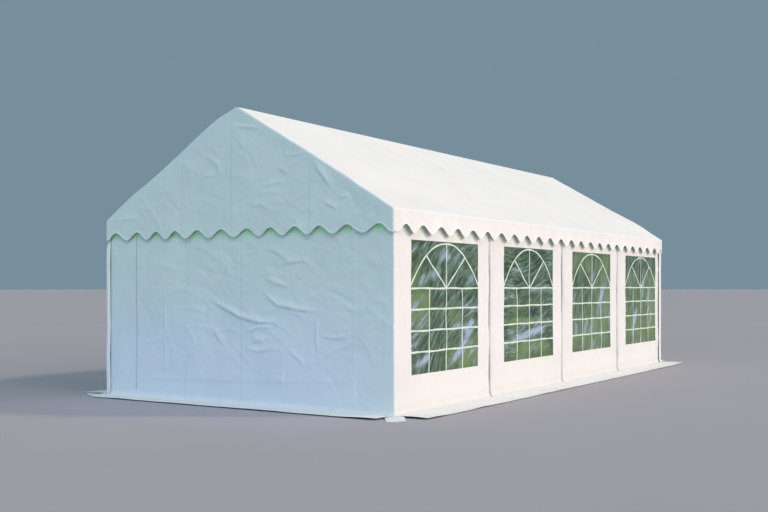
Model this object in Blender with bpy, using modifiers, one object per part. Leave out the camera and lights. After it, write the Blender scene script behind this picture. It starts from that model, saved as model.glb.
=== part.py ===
"""Marquee tent: a cloth roof, walls and clear window panels on a frame of galvanised tubes.

Metres, +Z up. The origin is on the ground at the middle of the tent, X runs across it,
Y runs along its ridge, and the gable end that faces -Y is the front.
"""
import math

import bmesh
import bpy
from mathutils import Matrix, Vector

# Overall sizes, over the outside of the roof cover
TENT_WIDTH = 4.0
BAY_LENGTH = 2.0
BAY_COUNT = 4
EAVES_HEIGHT = 2.015
RIDGE_HEIGHT = 3.147
ROOF_BULGE = 0.012

# Cloth, and the clearance between pieces that touch
CLOTH = 0.004
GAP = 0.0003

# Scalloped valance along the eaves and across both gables
VALANCE_DROP = 0.230
SCALLOP_PITCH = 1 / 3
SCALLOP_DEPTH = 0.086
SCALLOP_STEPS = 8
SCALLOP_LEAD = 0.085

# Walls, from behind the valance down to a rounded fold and a skirt that lies on the ground
WALL_SETBACK = 0.025
WALL_TOP_DROP = 0.020
FOLD_RADIUS = 0.065
FOLD_STEPS = 6
SIDE_SKIRT_REACH = 0.375
END_SKIRT_REACH = 0.270

# Windows of the side walls
WINDOW_WIDTH = 1.366
WINDOW_SILL = 0.378
WINDOW_HEAD = 1.725
WINDOW_SHIFT = 0.044
FILM = 0.002

# Door curtain of each end wall, between its two zips
DOOR_WIDTH = 3.04
DOOR_HEADBAND = 0.155

# Frame of tubes
TUBE_RADIUS = 0.019
SLEEVE_RADIUS = 0.0215
HUB_RADIUS = 0.0225
SLEEVE_LENGTH = 0.12
HUB_LENGTH = 0.14
TUBE_SIDES = 12
FOOT_SIZE = 0.10
FOOT_THICKNESS = 0.005
GABLE_BAR_DROP = 0.035

# What follows from the sizes above
TENT_LENGTH = BAY_LENGTH * BAY_COUNT
HALF_WIDTH = TENT_WIDTH / 2
HALF_LENGTH = TENT_LENGTH / 2
WALL_FACE = HALF_WIDTH - WALL_SETBACK
END_FACE = HALF_LENGTH - WALL_SETBACK
WALL_TOP = EAVES_HEIGHT - WALL_TOP_DROP
DOOR_HEAD = WALL_TOP - DOOR_HEADBAND
LEG_X = WALL_FACE - CLOTH - GAP - HUB_RADIUS
END_FRAME_Y = END_FACE - CLOTH - GAP - HUB_RADIUS
ACROSS_SKIRTS = TENT_WIDTH + 2 * SIDE_SKIRT_REACH
ALONG_SKIRTS = TENT_LENGTH + 2 * END_SKIRT_REACH


def frame_places():
    """Where the frames stand along the tent: one at each end wall and one at each join of two bays."""
    inner = [-HALF_LENGTH + BAY_LENGTH * bay for bay in range(1, BAY_COUNT)]
    return [-END_FRAME_Y] + inner + [END_FRAME_Y]


def roof_points():
    """Eaves corner, middle of the slope and ridge of the right-hand half, on the outside of the cover."""
    eaves = Vector((HALF_WIDTH, EAVES_HEIGHT))
    ridge = Vector((0.0, RIDGE_HEIGHT))
    run = (ridge - eaves).normalized()
    outward = Vector((run.y, -run.x))
    return eaves, (eaves + ridge) / 2 + outward * ROOF_BULGE, ridge


def inset_line(start, end, depth):
    """The line from start to end, moved inwards under the roof by depth."""
    run = (end - start).normalized()
    inward = Vector((-run.y, run.x))
    return start + inward * depth, run


def crossing(line_a, line_b):
    """The point where two lines meet, each given by a point and a direction."""
    (start_a, run_a), (start_b, run_b) = line_a, line_b
    offset = start_b - start_a
    along = (offset.x * run_b.y - offset.y * run_b.x) / (run_a.x * run_b.y - run_a.y * run_b.x)
    return start_a + run_a * along


def rafter_axis():
    """Axis of a right-hand rafter, over its leg, at the middle of the slope and under the ridge."""
    eaves, middle, ridge = roof_points()
    depth = CLOTH + GAP + HUB_RADIUS
    lower = inset_line(eaves, middle, depth)
    upper = inset_line(middle, ridge, depth)
    over_leg = crossing(lower, (Vector((LEG_X, 0.0)), Vector((0.0, 1.0))))
    under_ridge = crossing(upper, (Vector((0.0, 0.0)), Vector((0.0, 1.0))))
    return over_leg, crossing(lower, upper), under_ridge


def scallop_height(place, half_span, lead):
    """Height of the valance's lower edge: a rounded notch every pitch, and its full drop at both corners.

    lead is how far the first corner lies past the middle of a notch.
    """
    rise = 0.5 + 0.5 * math.cos(2 * math.pi * (place + half_span + lead) / SCALLOP_PITCH)
    from_corner = max(0.0, half_span - abs(place))
    return EAVES_HEIGHT - VALANCE_DROP + SCALLOP_DEPTH * rise * min(1.0, from_corner / SCALLOP_LEAD)


def scallop_line(half_span, lead):
    """Points of the lower edge between its two corners, as (distance along, height)."""
    count = max(1, round(2 * half_span / SCALLOP_PITCH * SCALLOP_STEPS))
    places = [half_span * (2 * step / count - 1) for step in range(count + 1)]
    return [(place, scallop_height(place, half_span, lead)) for place in places]


def clear_scene():
    for existing in list(bpy.data.objects):
        bpy.data.objects.remove(existing, do_unlink=True)


def new_collection(name):
    collection = bpy.data.collections.new(name)
    bpy.context.scene.collection.children.link(collection)
    return collection


def new_material(name, color, roughness, metallic=0.0):
    material = bpy.data.materials.new(name)
    material.use_nodes = True
    shader = material.node_tree.nodes["Principled BSDF"]
    shader.inputs["Base Color"].default_value = (*color, 1.0)
    shader.inputs["Roughness"].default_value = roughness
    shader.inputs["Metallic"].default_value = metallic
    return material


class Workshop:
    """The tent's collection, the collection of its cutters, and its materials."""

    def __init__(self):
        self.parts = new_collection("marquee_tent")
        self.cutters = new_collection("cutters")
        self.cloth = new_material("white_cloth", (0.90, 0.90, 0.87), 0.45)
        self.film = new_material("window_film", (0.20, 0.27, 0.23), 0.12)
        self.steel = new_material("galvanised_steel", (0.62, 0.64, 0.66), 0.38, 0.9)

    def add(self, name, mesh, material):
        """A visible piece of the tent."""
        part = bpy.data.objects.new(name, mesh)
        mesh.materials.clear()
        mesh.materials.append(material)
        self.parts.objects.link(part)
        return part

    def add_cutter(self, name, mesh):
        """A hidden solid that a Boolean joins to a piece or takes from it."""
        cutter = bpy.data.objects.new(name, mesh)
        cutter.hide_render = True
        cutter.display_type = "WIRE"
        self.cutters.objects.link(cutter)
        return cutter


def combine(part, cutter, operation):
    boolean = part.modifiers.new(operation.lower() + "_" + cutter.name, "BOOLEAN")
    boolean.operation = operation
    boolean.solver = "EXACT"
    boolean.object = cutter


def mesh_from(name, shape):
    mesh = bpy.data.meshes.new(name)
    shape.to_mesh(mesh)
    shape.free()
    return mesh


def add_box(shape, low, high):
    """A box between two corners."""
    low, high = Vector(low), Vector(high)
    size = high - low
    place = Matrix.Translation((low + high) / 2) @ Matrix.Diagonal((*size, 1.0))
    bmesh.ops.create_cube(shape, size=1.0, matrix=place)


def add_tube(shape, start, end, radius, side=Vector((1.0, 0.0, 0.0))):
    """A round bar from start to end, with one of its edges turned towards side."""
    start, end = Vector(start), Vector(end)
    along = (end - start).normalized()
    across = (side - along * side.dot(along)).normalized()
    turn = Matrix((across, along.cross(across), along)).transposed().to_4x4()
    place = Matrix.Translation((start + end) / 2) @ turn
    bmesh.ops.create_cone(
        shape,
        cap_ends=True,
        segments=TUBE_SIDES,
        radius1=radius,
        radius2=radius,
        depth=(end - start).length,
        matrix=place,
    )


def shade_round(part):
    """Smooth shading over the facets of a tube, and sharp edges at its ends."""
    part.data.shade_smooth()
    part.data.set_sharp_from_angle(angle=2 * math.pi / TUBE_SIDES + math.radians(10))


def cloth_sheet(workshop, name, outer_line, start, end, place, outward):
    """A sheet with the section outer_line, run from start to end, and its thickness to the inside.

    place turns a point of the section and a distance along into a position, and outward is the
    side that the sheet's first strip faces.
    """
    shape = bmesh.new()
    corners = [shape.verts.new(place(point, start)) for point in outer_line]
    edges = [shape.edges.new(pair) for pair in zip(corners, corners[1:])]
    grown = bmesh.ops.extrude_edge_only(shape, edges=edges)["geom"]
    moved = [piece for piece in grown if isinstance(piece, bmesh.types.BMVert)]
    run = Vector(place(outer_line[0], end)) - Vector(place(outer_line[0], start))
    bmesh.ops.translate(shape, verts=moved, vec=run)
    bmesh.ops.recalc_face_normals(shape, faces=shape.faces)
    if corners[0].link_faces[0].normal.dot(outward) < 0:
        bmesh.ops.reverse_faces(shape, faces=shape.faces)
    sheet = workshop.add(name, mesh_from(name, shape), workshop.cloth)
    solidify = sheet.modifiers.new("cloth_thickness", "SOLIDIFY")
    solidify.thickness = CLOTH
    solidify.offset = -1.0
    solidify.use_even_offset = True
    solidify.use_quality_normals = True
    return sheet


def wall_line(top, reach):
    """Section of a wall as (distance out from its face, height): upright, rounded fold, skirt."""
    fold = [
        (
            FOLD_RADIUS - FOLD_RADIUS * math.cos(angle),
            CLOTH + FOLD_RADIUS - FOLD_RADIUS * math.sin(angle),
        )
        for angle in (math.pi / 2 * step / FOLD_STEPS for step in range(FOLD_STEPS + 1))
    ]
    return [(0.0, top)] + fold + [(reach, CLOTH)]


def side_wall(workshop, name, side, start, end):
    return cloth_sheet(
        workshop,
        name,
        wall_line(WALL_TOP, SIDE_SKIRT_REACH),
        start,
        end,
        lambda point, along: (side * (WALL_FACE + point[0]), along, point[1]),
        Vector((side, 0.0, 0.0)),
    )


def end_sheet(workshop, name, side, top, half_width):
    return cloth_sheet(
        workshop,
        name,
        wall_line(top, END_SKIRT_REACH),
        -half_width,
        half_width,
        lambda point, along: (along, side * (END_FACE + point[0]), point[1]),
        Vector((0.0, side, 0.0)),
    )


def bay_span(bay):
    """Where a bay's wall panel starts and ends along the tent, clear of its neighbours."""
    first = -HALF_LENGTH + BAY_LENGTH * bay
    last = first + BAY_LENGTH
    limit = END_FACE - CLOTH - GAP
    return max(first + GAP / 2, -limit), min(last - GAP / 2, limit)


def window_span(bay, side):
    """Where a bay's window starts and ends: on both sides it lies off centre, to the same hand."""
    middle = -HALF_LENGTH + BAY_LENGTH * bay + BAY_LENGTH / 2 + side * WINDOW_SHIFT
    return middle - WINDOW_WIDTH / 2, middle + WINDOW_WIDTH / 2


def build_side_walls(workshop):
    """A window panel and its clear pane in each bay of both sides."""
    far = ACROSS_SKIRTS / 2
    middle_plane = WALL_FACE - CLOTH / 2
    for word, side in (("right", 1), ("left", -1)):
        for bay in range(BAY_COUNT):
            start, end = window_span(bay, side)
            number = f"{word}_{bay + 1}"
            low_x, high_x = sorted((0.0, side * far))
            opening = bmesh.new()
            add_box(opening, (low_x, start, WINDOW_SILL), (high_x, end, WINDOW_HEAD))
            cutter = workshop.add_cutter(f"opening_{number}", mesh_from("opening", opening))
            wall = side_wall(workshop, f"wall_{number}", side, *bay_span(bay))
            combine(wall, cutter, "DIFFERENCE")
            x = side * middle_plane
            pane = bmesh.new()
            add_box(
                pane,
                (x - FILM / 2, start + GAP, WINDOW_SILL + GAP),
                (x + FILM / 2, end - GAP, WINDOW_HEAD - GAP),
            )
            name = f"window_{number}"
            workshop.add(name, mesh_from(name, pane), workshop.film)


def build_end_walls(workshop):
    """An end wall at each gable, with a doorway that its door curtain fills between two zips."""
    doorway = bmesh.new()
    across = ALONG_SKIRTS / 2
    half_door = DOOR_WIDTH / 2
    add_box(doorway, (-half_door, -across, -FOLD_RADIUS), (half_door, across, DOOR_HEAD))
    cutter = workshop.add_cutter("doorway", mesh_from("doorway", doorway))
    for word, side in (("front", -1), ("back", 1)):
        wall = end_sheet(workshop, f"end_wall_{word}", side, WALL_TOP, WALL_FACE)
        combine(wall, cutter, "DIFFERENCE")
        end_sheet(workshop, f"door_curtain_{word}", side, DOOR_HEAD - GAP, half_door - GAP)


def build_roof_cover(workshop):
    """One sheet over both slopes, with the scalloped valances that hang from the eaves."""
    eaves, middle, ridge = roof_points()
    right = [Vector((HALF_WIDTH, EAVES_HEIGHT - VALANCE_DROP)), eaves, middle]
    left = [Vector((-point.x, point.y)) for point in reversed(right)]
    end = HALF_LENGTH - CLOTH - GAP
    cover = cloth_sheet(
        workshop,
        "roof_cover",
        right + [ridge] + left,
        -end,
        end,
        lambda point, along: (point[0], along, point[1]),
        Vector((1.0, 0.0, 0.0)),
    )
    edge = scallop_line(HALF_LENGTH, SCALLOP_LEAD)
    below = EAVES_HEIGHT - VALANCE_DROP - SCALLOP_DEPTH
    outline = [(-HALF_LENGTH, below)] + edge + [(HALF_LENGTH, below)]
    cutter = workshop.add_cutter("eaves_scallops", prism_mesh("scallops", outline, ACROSS_SKIRTS))
    cutter.matrix_world = Matrix.Rotation(math.pi / 2, 4, "Z") @ Matrix.Rotation(math.pi / 2, 4, "X")
    combine(cover, cutter, "DIFFERENCE")


def flat_outline(name, outline, thickness):
    """A flat curve object with the outline in its own XY plane, as thick as asked."""
    curve = bpy.data.curves.new(name, "CURVE")
    curve.dimensions = "2D"
    curve.fill_mode = "BOTH"
    curve.extrude = thickness / 2
    spline = curve.splines.new("POLY")
    spline.points.add(len(outline) - 1)
    for point, (across, up) in zip(spline.points, outline):
        point.co = (across, up, 0.0, 1.0)
    spline.use_cyclic_u = True
    return curve


def mesh_of_object(scene_object, weld=1e-5):
    """The finished mesh of an object, with the loose caps of a curve welded."""
    graph = bpy.context.evaluated_depsgraph_get()
    mesh = bpy.data.meshes.new_from_object(scene_object.evaluated_get(graph))
    shape = bmesh.new()
    shape.from_mesh(mesh)
    bmesh.ops.remove_doubles(shape, verts=shape.verts, dist=weld)
    shape.to_mesh(mesh)
    shape.free()
    return mesh


def mesh_of_curve(curve):
    """The mesh of a curve, which is then removed."""
    holder = bpy.data.objects.new(curve.name, curve)
    bpy.context.scene.collection.objects.link(holder)
    mesh = mesh_of_object(holder)
    bpy.data.objects.remove(holder, do_unlink=True)
    return mesh


def prism_mesh(name, outline, thickness):
    return mesh_of_curve(flat_outline(name, outline, thickness))


def build_gables(workshop):
    """The triangle of cloth at each end, welded to the roof cover and scalloped below."""
    eaves, middle, ridge = roof_points()
    rake = [eaves, middle, ridge]
    rake += [Vector((-point.x, point.y)) for point in (middle, eaves)]
    bottom = scallop_line(HALF_WIDTH, SCALLOP_PITCH / 2)
    outline = bottom + [(point.x, point.y) for point in rake]
    upright = Matrix.Rotation(math.pi / 2, 4, "X")
    for word, side in (("front", -1), ("back", 1)):
        name = f"gable_{word}"
        gable = workshop.add(name, prism_mesh(name, outline, CLOTH), workshop.cloth)
        middle_plane = side * (HALF_LENGTH - CLOTH / 2)
        gable.matrix_world = Matrix.Translation((0.0, middle_plane, 0.0)) @ upright


def build_legs(workshop):
    """Upright tubes on square foot plates, below the eaves connectors."""
    over_leg, _, _ = rafter_axis()
    top = over_leg.y - SLEEVE_LENGTH - GAP
    for word, side in (("right", 1), ("left", -1)):
        for number, along in enumerate(frame_places(), start=1):
            name = f"leg_{word}_{number}"
            half = FOOT_SIZE / 2
            x = side * LEG_X
            plate = bmesh.new()
            add_box(plate, (x - half, along - half, 0.0), (x + half, along + half, FOOT_THICKNESS))
            leg = workshop.add(name, mesh_from(name, plate), workshop.steel)
            upright = bmesh.new()
            add_tube(upright, (x, along, FOOT_THICKNESS / 2), (x, along, top), TUBE_RADIUS)
            tube = workshop.add_cutter(f"{name}_tube", mesh_from(f"{name}_tube", upright))
            combine(leg, tube, "UNION")


def slope_run(first, second):
    """Direction from first to second across the tent, as a vector in space."""
    return Vector((second.x - first.x, 0.0, second.y - first.y)).normalized()


def bent_tube(name, points, radius):
    """A tube through points, as a curve."""
    curve = bpy.data.curves.new(name, "CURVE")
    curve.dimensions = "3D"
    curve.bevel_depth = radius
    curve.bevel_resolution = TUBE_SIDES // 2 - 2
    curve.use_fill_caps = True
    spline = curve.splines.new("POLY")
    spline.points.add(len(points) - 1)
    for target, point in zip(spline.points, points):
        target.co = (*point, 1.0)
    return curve


def rafter_points(side, along, start_gap, end_gap):
    """A rafter's axis, shortened at its lower and its upper end."""
    over_leg, middle, under_ridge = rafter_axis()
    lower = slope_run(over_leg, middle)
    upper = slope_run(middle, under_ridge)
    places = [
        Vector((over_leg.x, along, over_leg.y)) + lower * start_gap,
        Vector((middle.x, along, middle.y)),
        Vector((under_ridge.x, along, under_ridge.y)) - upper * end_gap,
    ]
    return [Vector((side * point.x, point.y, point.z)) for point in places]


def build_rafters(workshop):
    """Sloping tubes from the eaves connectors to the ridge connectors."""
    inset = SLEEVE_LENGTH + GAP
    for word, side in (("right", 1), ("left", -1)):
        for number, along in enumerate(frame_places(), start=1):
            name = f"rafter_{word}_{number}"
            points = rafter_points(side, along, inset, inset)
            mesh = mesh_of_curve(bent_tube(name, points, TUBE_RADIUS))
            rafter = workshop.add(name, mesh, workshop.steel)
            shade_round(rafter)


def joined_curves(name, curves):
    """One mesh that holds the meshes of several curves."""
    shape = bmesh.new()
    for curve in curves:
        mesh = mesh_of_curve(curve)
        shape.from_mesh(mesh)
        bpy.data.meshes.remove(mesh)
    return mesh_from(name, shape)


def build_purlins(workshop):
    """A tube along the middle of each slope, with a sleeve round every rafter that it crosses."""
    over_leg, middle, under_ridge = rafter_axis()
    half_sleeve = HUB_LENGTH / 2
    to_sleeve = (middle - over_leg).length - half_sleeve
    past_sleeve = (under_ridge - middle).length - half_sleeve
    for word, side in (("right", 1), ("left", -1)):
        name = f"purlin_{word}"
        x, z = side * middle.x, middle.y
        tube = bmesh.new()
        add_tube(tube, (x, -END_FRAME_Y, z), (x, END_FRAME_Y, z), TUBE_RADIUS)
        purlin = workshop.add(name, mesh_from(name, tube), workshop.steel)
        sleeves = []
        passages = []
        for along in frame_places():
            around = rafter_points(side, along, to_sleeve, past_sleeve)
            sleeves.append(bent_tube("sleeve", around, HUB_RADIUS))
            passage = rafter_points(side, along, SLEEVE_LENGTH, SLEEVE_LENGTH)
            passages.append(bent_tube("passage", passage, TUBE_RADIUS + GAP))
        sleeve = workshop.add_cutter(f"{name}_sleeves", joined_curves("sleeves", sleeves))
        passage = workshop.add_cutter(f"{name}_passages", joined_curves("passages", passages))
        combine(purlin, sleeve, "UNION")
        combine(purlin, passage, "DIFFERENCE")


def hub_span(along):
    """Where the hub on the frame at along starts and ends, clear of the end walls."""
    end = END_FRAME_Y + HUB_RADIUS
    return max(along - HUB_LENGTH / 2, -end), min(along + HUB_LENGTH / 2, end)


def connector_rail(workshop, name, x, z, arms):
    """A tube along the tent with a hub on every frame, and an arm from each hub in every direction given."""
    tube = bmesh.new()
    add_tube(tube, (x, -END_FRAME_Y, z), (x, END_FRAME_Y, z), TUBE_RADIUS)
    rail = workshop.add(name, mesh_from(name, tube), workshop.steel)
    hubs = bmesh.new()
    for along in frame_places():
        low, high = hub_span(along)
        add_tube(hubs, (x, low, z), (x, high, z), HUB_RADIUS)
    combine(rail, workshop.add_cutter(f"{name}_hubs", mesh_from("hubs", hubs)), "UNION")
    for number, direction in enumerate(arms, start=1):
        sleeves = bmesh.new()
        for along in frame_places():
            start = Vector((x, along, z))
            add_tube(sleeves, start, start + direction * SLEEVE_LENGTH, SLEEVE_RADIUS)
        cutter = workshop.add_cutter(f"{name}_arms_{number}", mesh_from("arms", sleeves))
        combine(rail, cutter, "UNION")


def build_eaves_rails(workshop):
    """Eaves rails, whose connectors hold the rafters and the legs."""
    over_leg, middle, _ = rafter_axis()
    lower = slope_run(over_leg, middle)
    down = Vector((0.0, 0.0, -1.0))
    for word, side in (("right", 1), ("left", -1)):
        inward = Vector((side * lower.x, 0.0, lower.z))
        x = side * over_leg.x
        connector_rail(workshop, f"eaves_rail_{word}", x, over_leg.y, [down, inward])


def build_ridge(workshop):
    """A tube along the ridge, with a connector round it on every frame that holds both rafters."""
    _, middle, under_ridge = rafter_axis()
    upper = slope_run(middle, under_ridge)
    z = under_ridge.y
    end = END_FRAME_Y + HUB_RADIUS
    tube = bmesh.new()
    add_tube(tube, (0.0, -end, z), (0.0, end, z), TUBE_RADIUS)
    workshop.add("ridge_rail", mesh_from("ridge_rail", tube), workshop.steel)
    for number, along in enumerate(frame_places(), start=1):
        name = f"ridge_hub_{number}"
        low, high = hub_span(along)
        body = bmesh.new()
        add_tube(body, (0.0, low, z), (0.0, high, z), HUB_RADIUS)
        hub = workshop.add(name, mesh_from(name, body), workshop.steel)
        middle_of_hub = Vector((0.0, along, z))
        for arm_name, direction in (("right", -upper), ("left", Vector((upper.x, 0.0, -upper.z)))):
            arm = bmesh.new()
            add_tube(arm, middle_of_hub, middle_of_hub + direction * SLEEVE_LENGTH, SLEEVE_RADIUS)
            cutter = workshop.add_cutter(f"{name}_arm_{arm_name}", mesh_from("arm", arm))
            combine(hub, cutter, "UNION")
        passage = bmesh.new()
        beyond = END_FRAME_Y + HUB_LENGTH
        add_tube(passage, (0.0, -beyond, z), (0.0, beyond, z), TUBE_RADIUS + GAP)
        combine(hub, workshop.add_cutter(f"{name}_passage", mesh_from("passage", passage)), "DIFFERENCE")


def build_gable_bars(workshop):
    """A level tube between the end legs, which carries the top of the end wall."""
    over_leg, _, _ = rafter_axis()
    height = over_leg.y - SLEEVE_LENGTH - GABLE_BAR_DROP
    half = LEG_X - TUBE_RADIUS - GAP
    for word, side in (("front", -1), ("back", 1)):
        name = f"gable_bar_{word}"
        along = side * END_FRAME_Y
        bar = bmesh.new()
        upward = Vector((0.0, 0.0, 1.0))
        add_tube(bar, (-half, along, height), (half, along, height), TUBE_RADIUS, upward)
        shade_round(workshop.add(name, mesh_from(name, bar), workshop.steel))


def main():
    clear_scene()
    workshop = Workshop()
    build_roof_cover(workshop)
    build_gables(workshop)
    build_side_walls(workshop)
    build_end_walls(workshop)
    build_legs(workshop)
    build_rafters(workshop)
    build_purlins(workshop)
    build_eaves_rails(workshop)
    build_ridge(workshop)
    build_gable_bars(workshop)


main()
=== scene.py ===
"""Looks of the marquee tent: creased cloth, clear windows with white bars, zips, skirts and tubes.

Metres, +Z up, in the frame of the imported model. The right-hand side faces +X and the front faces -Y.
"""
import math
import random

import bpy
import numpy as np
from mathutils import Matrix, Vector


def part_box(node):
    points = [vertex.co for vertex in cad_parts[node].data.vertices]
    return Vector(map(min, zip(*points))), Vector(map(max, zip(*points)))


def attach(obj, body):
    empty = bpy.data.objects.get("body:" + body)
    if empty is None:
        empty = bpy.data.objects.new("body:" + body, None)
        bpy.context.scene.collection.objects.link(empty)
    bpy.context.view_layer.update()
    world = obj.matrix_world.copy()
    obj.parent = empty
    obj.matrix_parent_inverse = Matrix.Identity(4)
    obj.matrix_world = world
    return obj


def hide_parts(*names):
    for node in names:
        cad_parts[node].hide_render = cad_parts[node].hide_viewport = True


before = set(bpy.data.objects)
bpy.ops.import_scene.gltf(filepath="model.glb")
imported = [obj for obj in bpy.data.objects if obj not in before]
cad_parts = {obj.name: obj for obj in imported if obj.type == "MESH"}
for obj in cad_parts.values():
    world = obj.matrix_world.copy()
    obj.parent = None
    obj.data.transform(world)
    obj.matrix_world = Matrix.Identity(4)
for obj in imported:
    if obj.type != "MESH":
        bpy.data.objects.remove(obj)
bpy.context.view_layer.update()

bl_info = {
    "name": "Marquee tent finish",
    "version": (1, 0, 0),
    "blender": (4, 5, 0),
    "location": "3D View > Sidebar > Marquee",
    "description": "Dresses the solids of a marquee tent with cloth, film, zips and steel",
    "category": "Object",
}

# Sizes of the tent, close to those of its solids, though its skirts reach a little further out
HALF_WIDTH = 2.0
HALF_LENGTH = 4.0
BAY = 2.0
BAY_COUNT = 4
EAVES = 2.015
RIDGE = 3.147
VALANCE_DROP = 0.230
SCALLOP_PITCH = 1 / 3
SCALLOP_DEPTH = 0.086
SCALLOP_LEAD = 0.085
WALL_SETBACK = 0.025
WALL_FACE = HALF_WIDTH - WALL_SETBACK
END_FACE = HALF_LENGTH - WALL_SETBACK
WALL_TOP = 1.992
FOLD_RADIUS = 0.065
SIDE_REACH = 0.395
END_REACH = 0.280
WINDOW_WIDTH = 1.366
WINDOW_SILL = 0.378
WINDOW_HEAD = 1.725
WINDOW_HEIGHT = WINDOW_HEAD - WINDOW_SILL
WINDOW_SHIFT = 0.044
DOOR_EDGE = 1.52
DOOR_HEAD = 1.840

# The two sides and the two ends, with the way that each one faces
SIDES = (("right", 1), ("left", -1))
ENDS = (("front", -1), ("back", 1))

# How the walls meet each other and the ground
CORNER_RADIUS = 0.016
CORNER_ARC = CORNER_RADIUS * math.pi / 2
STRIP_FACE = 1.995
STRIP_WIDTH = 0.11
STRIP_END = 1.943
STRIP_CORNER = STRIP_FACE - CORNER_RADIUS
LEFT_EDGE = 1.956
POST_FACE = 3.985
POST_CORNER = POST_FACE - CORNER_RADIUS
POST_BULGE = 0.036
WRAP_END = POST_CORNER + CORNER_ARC + WALL_FACE - CORNER_RADIUS - STRIP_END
PANEL_GAP = 0.002
PANEL_LAP = 0.030
HEM_BAND = 0.022
FILM_LAP = 0.018
FILM_BACK = 0.0022
BAR_BACK = 0.0010
BAR_LAYER = 0.0002
GROUND_CLEARANCE = 0.002
SKIRT_START = -0.033

# Roof and valances
BEND_STEPS = 6
RIDGE_STAND = 0.026
ROOF_BULGE = 0.012
WELD_HALF = 0.016
WELD_RISE = 0.0009
END_HEM = 0.036
VALANCE_HEM = 0.072
VALANCE_FLARE = 0.019
SCALLOP_SHIFT = 0.034
GABLE_RIM = 0.013

# Heights of the waves, crumples and steps in the cloth
ROOF_WAVE = 0.0022
EAVES_PUCKER = 0.003
VALANCE_WAVE = 0.0035
VALANCE_HEM_RISE = 0.0025
GABLE_WAVE = 0.0032
GABLE_HEM_RISE = 0.0030
GABLE_CRUMPLE = 0.0037
END_CRUMPLE = 0.0042
SIDE_CRUMPLE = 0.0025
SEAM_DEPTH = 0.0016
BAND_RISE = 0.0008
SKIRT_WAVE = 0.004
EDGE_WAVER = 0.004
CORNER_FLARE = 0.07

# Fine patterns of the materials, in radians a metre
WEAVE_TURNS = 1256.0
TOOTH_TURNS = 1570.0

# Thickness of bars, zips and zip flaps, and the angle up to which a piece is shaded smooth
THIN = 0.0008
SMOOTH_ANGLE = math.radians(38)

# Stage
FLOOR_RADIUS = 400.0
SKY_STRENGTH = 0.33
LOW_LIGHT_COLOR = (0.24, 0.08, 1.0)
TOP_LIGHT_COLOR = (0.91, 0.92, 0.94)
FRONT_LIGHT_COLOR = (0.0, 0.79, 0.98)

# Camera of the photograph
CAMERA_PLACE = (7.3014, -11.9751, 1.2629)
CAMERA_TURN = 0.5295
CAMERA_LENS = 46.745
CAMERA_SHIFT = (-0.0864, 0.0392)


class Signal:
    """A socket whose arithmetic adds Math nodes."""

    def __init__(self, board, socket):
        self.board = board
        self.socket = socket

    def math(self, operation, *values):
        return self.board.add("ShaderNodeMath", {"operation": operation}, dict(enumerate(values)))

    def __add__(self, other):
        return self.math("ADD", self, other)

    def __radd__(self, other):
        return self.math("ADD", other, self)

    def __sub__(self, other):
        return self.math("SUBTRACT", self, other)

    def __rsub__(self, other):
        return self.math("SUBTRACT", other, self)

    def __mul__(self, other):
        return self.math("MULTIPLY", self, other)

    def __rmul__(self, other):
        return self.math("MULTIPLY", other, self)

    def sine(self):
        return self.math("SINE", self)

    def size(self):
        return self.math("ABSOLUTE", self)

    def between(self, low, high):
        """0 below low, 1 above high and a smooth rise between them."""
        settings = {"interpolation_type": "SMOOTHSTEP"}
        inputs = {"Value": self, "From Min": low, "From Max": high}
        return self.board.add("ShaderNodeMapRange", settings, inputs)


class Board:
    """The nodes of one material."""

    def __init__(self, name):
        self.material = bpy.data.materials.new(name)
        self.material.use_nodes = True
        self.tree = self.material.node_tree
        self.shader = self.tree.nodes["Principled BSDF"]

    def add(self, kind, settings=None, inputs=None, output=0):
        """A node with its settings made first, then its sockets, and the output asked for."""
        node = self.tree.nodes.new(kind)
        for key, value in (settings or {}).items():
            if key == "stops":
                self.set_stops(node.color_ramp, value)
            else:
                setattr(node, key, value)
        for key, value in (inputs or {}).items():
            self.feed(node.inputs[key], value)
        return Signal(self, node.outputs[output])

    def set_stops(self, ramp, stops):
        while len(ramp.elements) < len(stops):
            ramp.elements.new(1.0)
        for element, (place, color) in zip(ramp.elements, stops):
            element.position = place
            element.color = (*color, 1.0)

    def feed(self, socket, value):
        if isinstance(value, Signal):
            self.tree.links.new(value.socket, socket)
        else:
            socket.default_value = value

    def finish(self, **inputs):
        """Values or signals for the shader, by the socket's name with its spaces as underscores."""
        for key, value in inputs.items():
            self.feed(self.shader.inputs[key.replace("_", " ")], value)
        return self.material

    def object_place(self):
        return self.add("ShaderNodeTexCoord", output="Object")

    def sheet_place(self):
        return self.add("ShaderNodeUVMap", {"uv_map": "UVMap"})

    def stored(self, name, output):
        return self.add("ShaderNodeAttribute", {"attribute_name": name}, output=output)

    def split(self, vector, axis):
        return self.add("ShaderNodeSeparateXYZ", inputs={0: vector}, output=axis)

    def noise(self, place, scale, detail, roughness, distortion=0.0):
        inputs = {"Vector": place, "Scale": scale, "Detail": detail}
        inputs.update({"Roughness": roughness, "Distortion": distortion})
        return self.add("ShaderNodeTexNoise", inputs=inputs)

    def blend(self, amount, first, second):
        """Colour first where amount is 0, and second where it is 1."""
        settings = {"data_type": "RGBA"}
        return self.add("ShaderNodeMix", settings, {0: amount, 6: first, 7: second}, output=2)

    def bump(self, height, distance, normal=None):
        inputs = {"Height": height, "Distance": distance}
        if normal is not None:
            inputs["Normal"] = normal
        return self.add("ShaderNodeBump", inputs=inputs)


def opaque(color):
    return (*color, 1.0)


def shade_of(color, factor):
    return opaque(part * factor for part in color)


def length_property(name, description, default):
    return bpy.props.FloatProperty(name=name, description=description, default=default, unit="LENGTH")


def color_property(name, description, default):
    return bpy.props.FloatVectorProperty(
        name=name,
        description=description,
        default=default,
        subtype="COLOR",
        size=3,
        min=0.0,
        max=1.0,
    )


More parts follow.
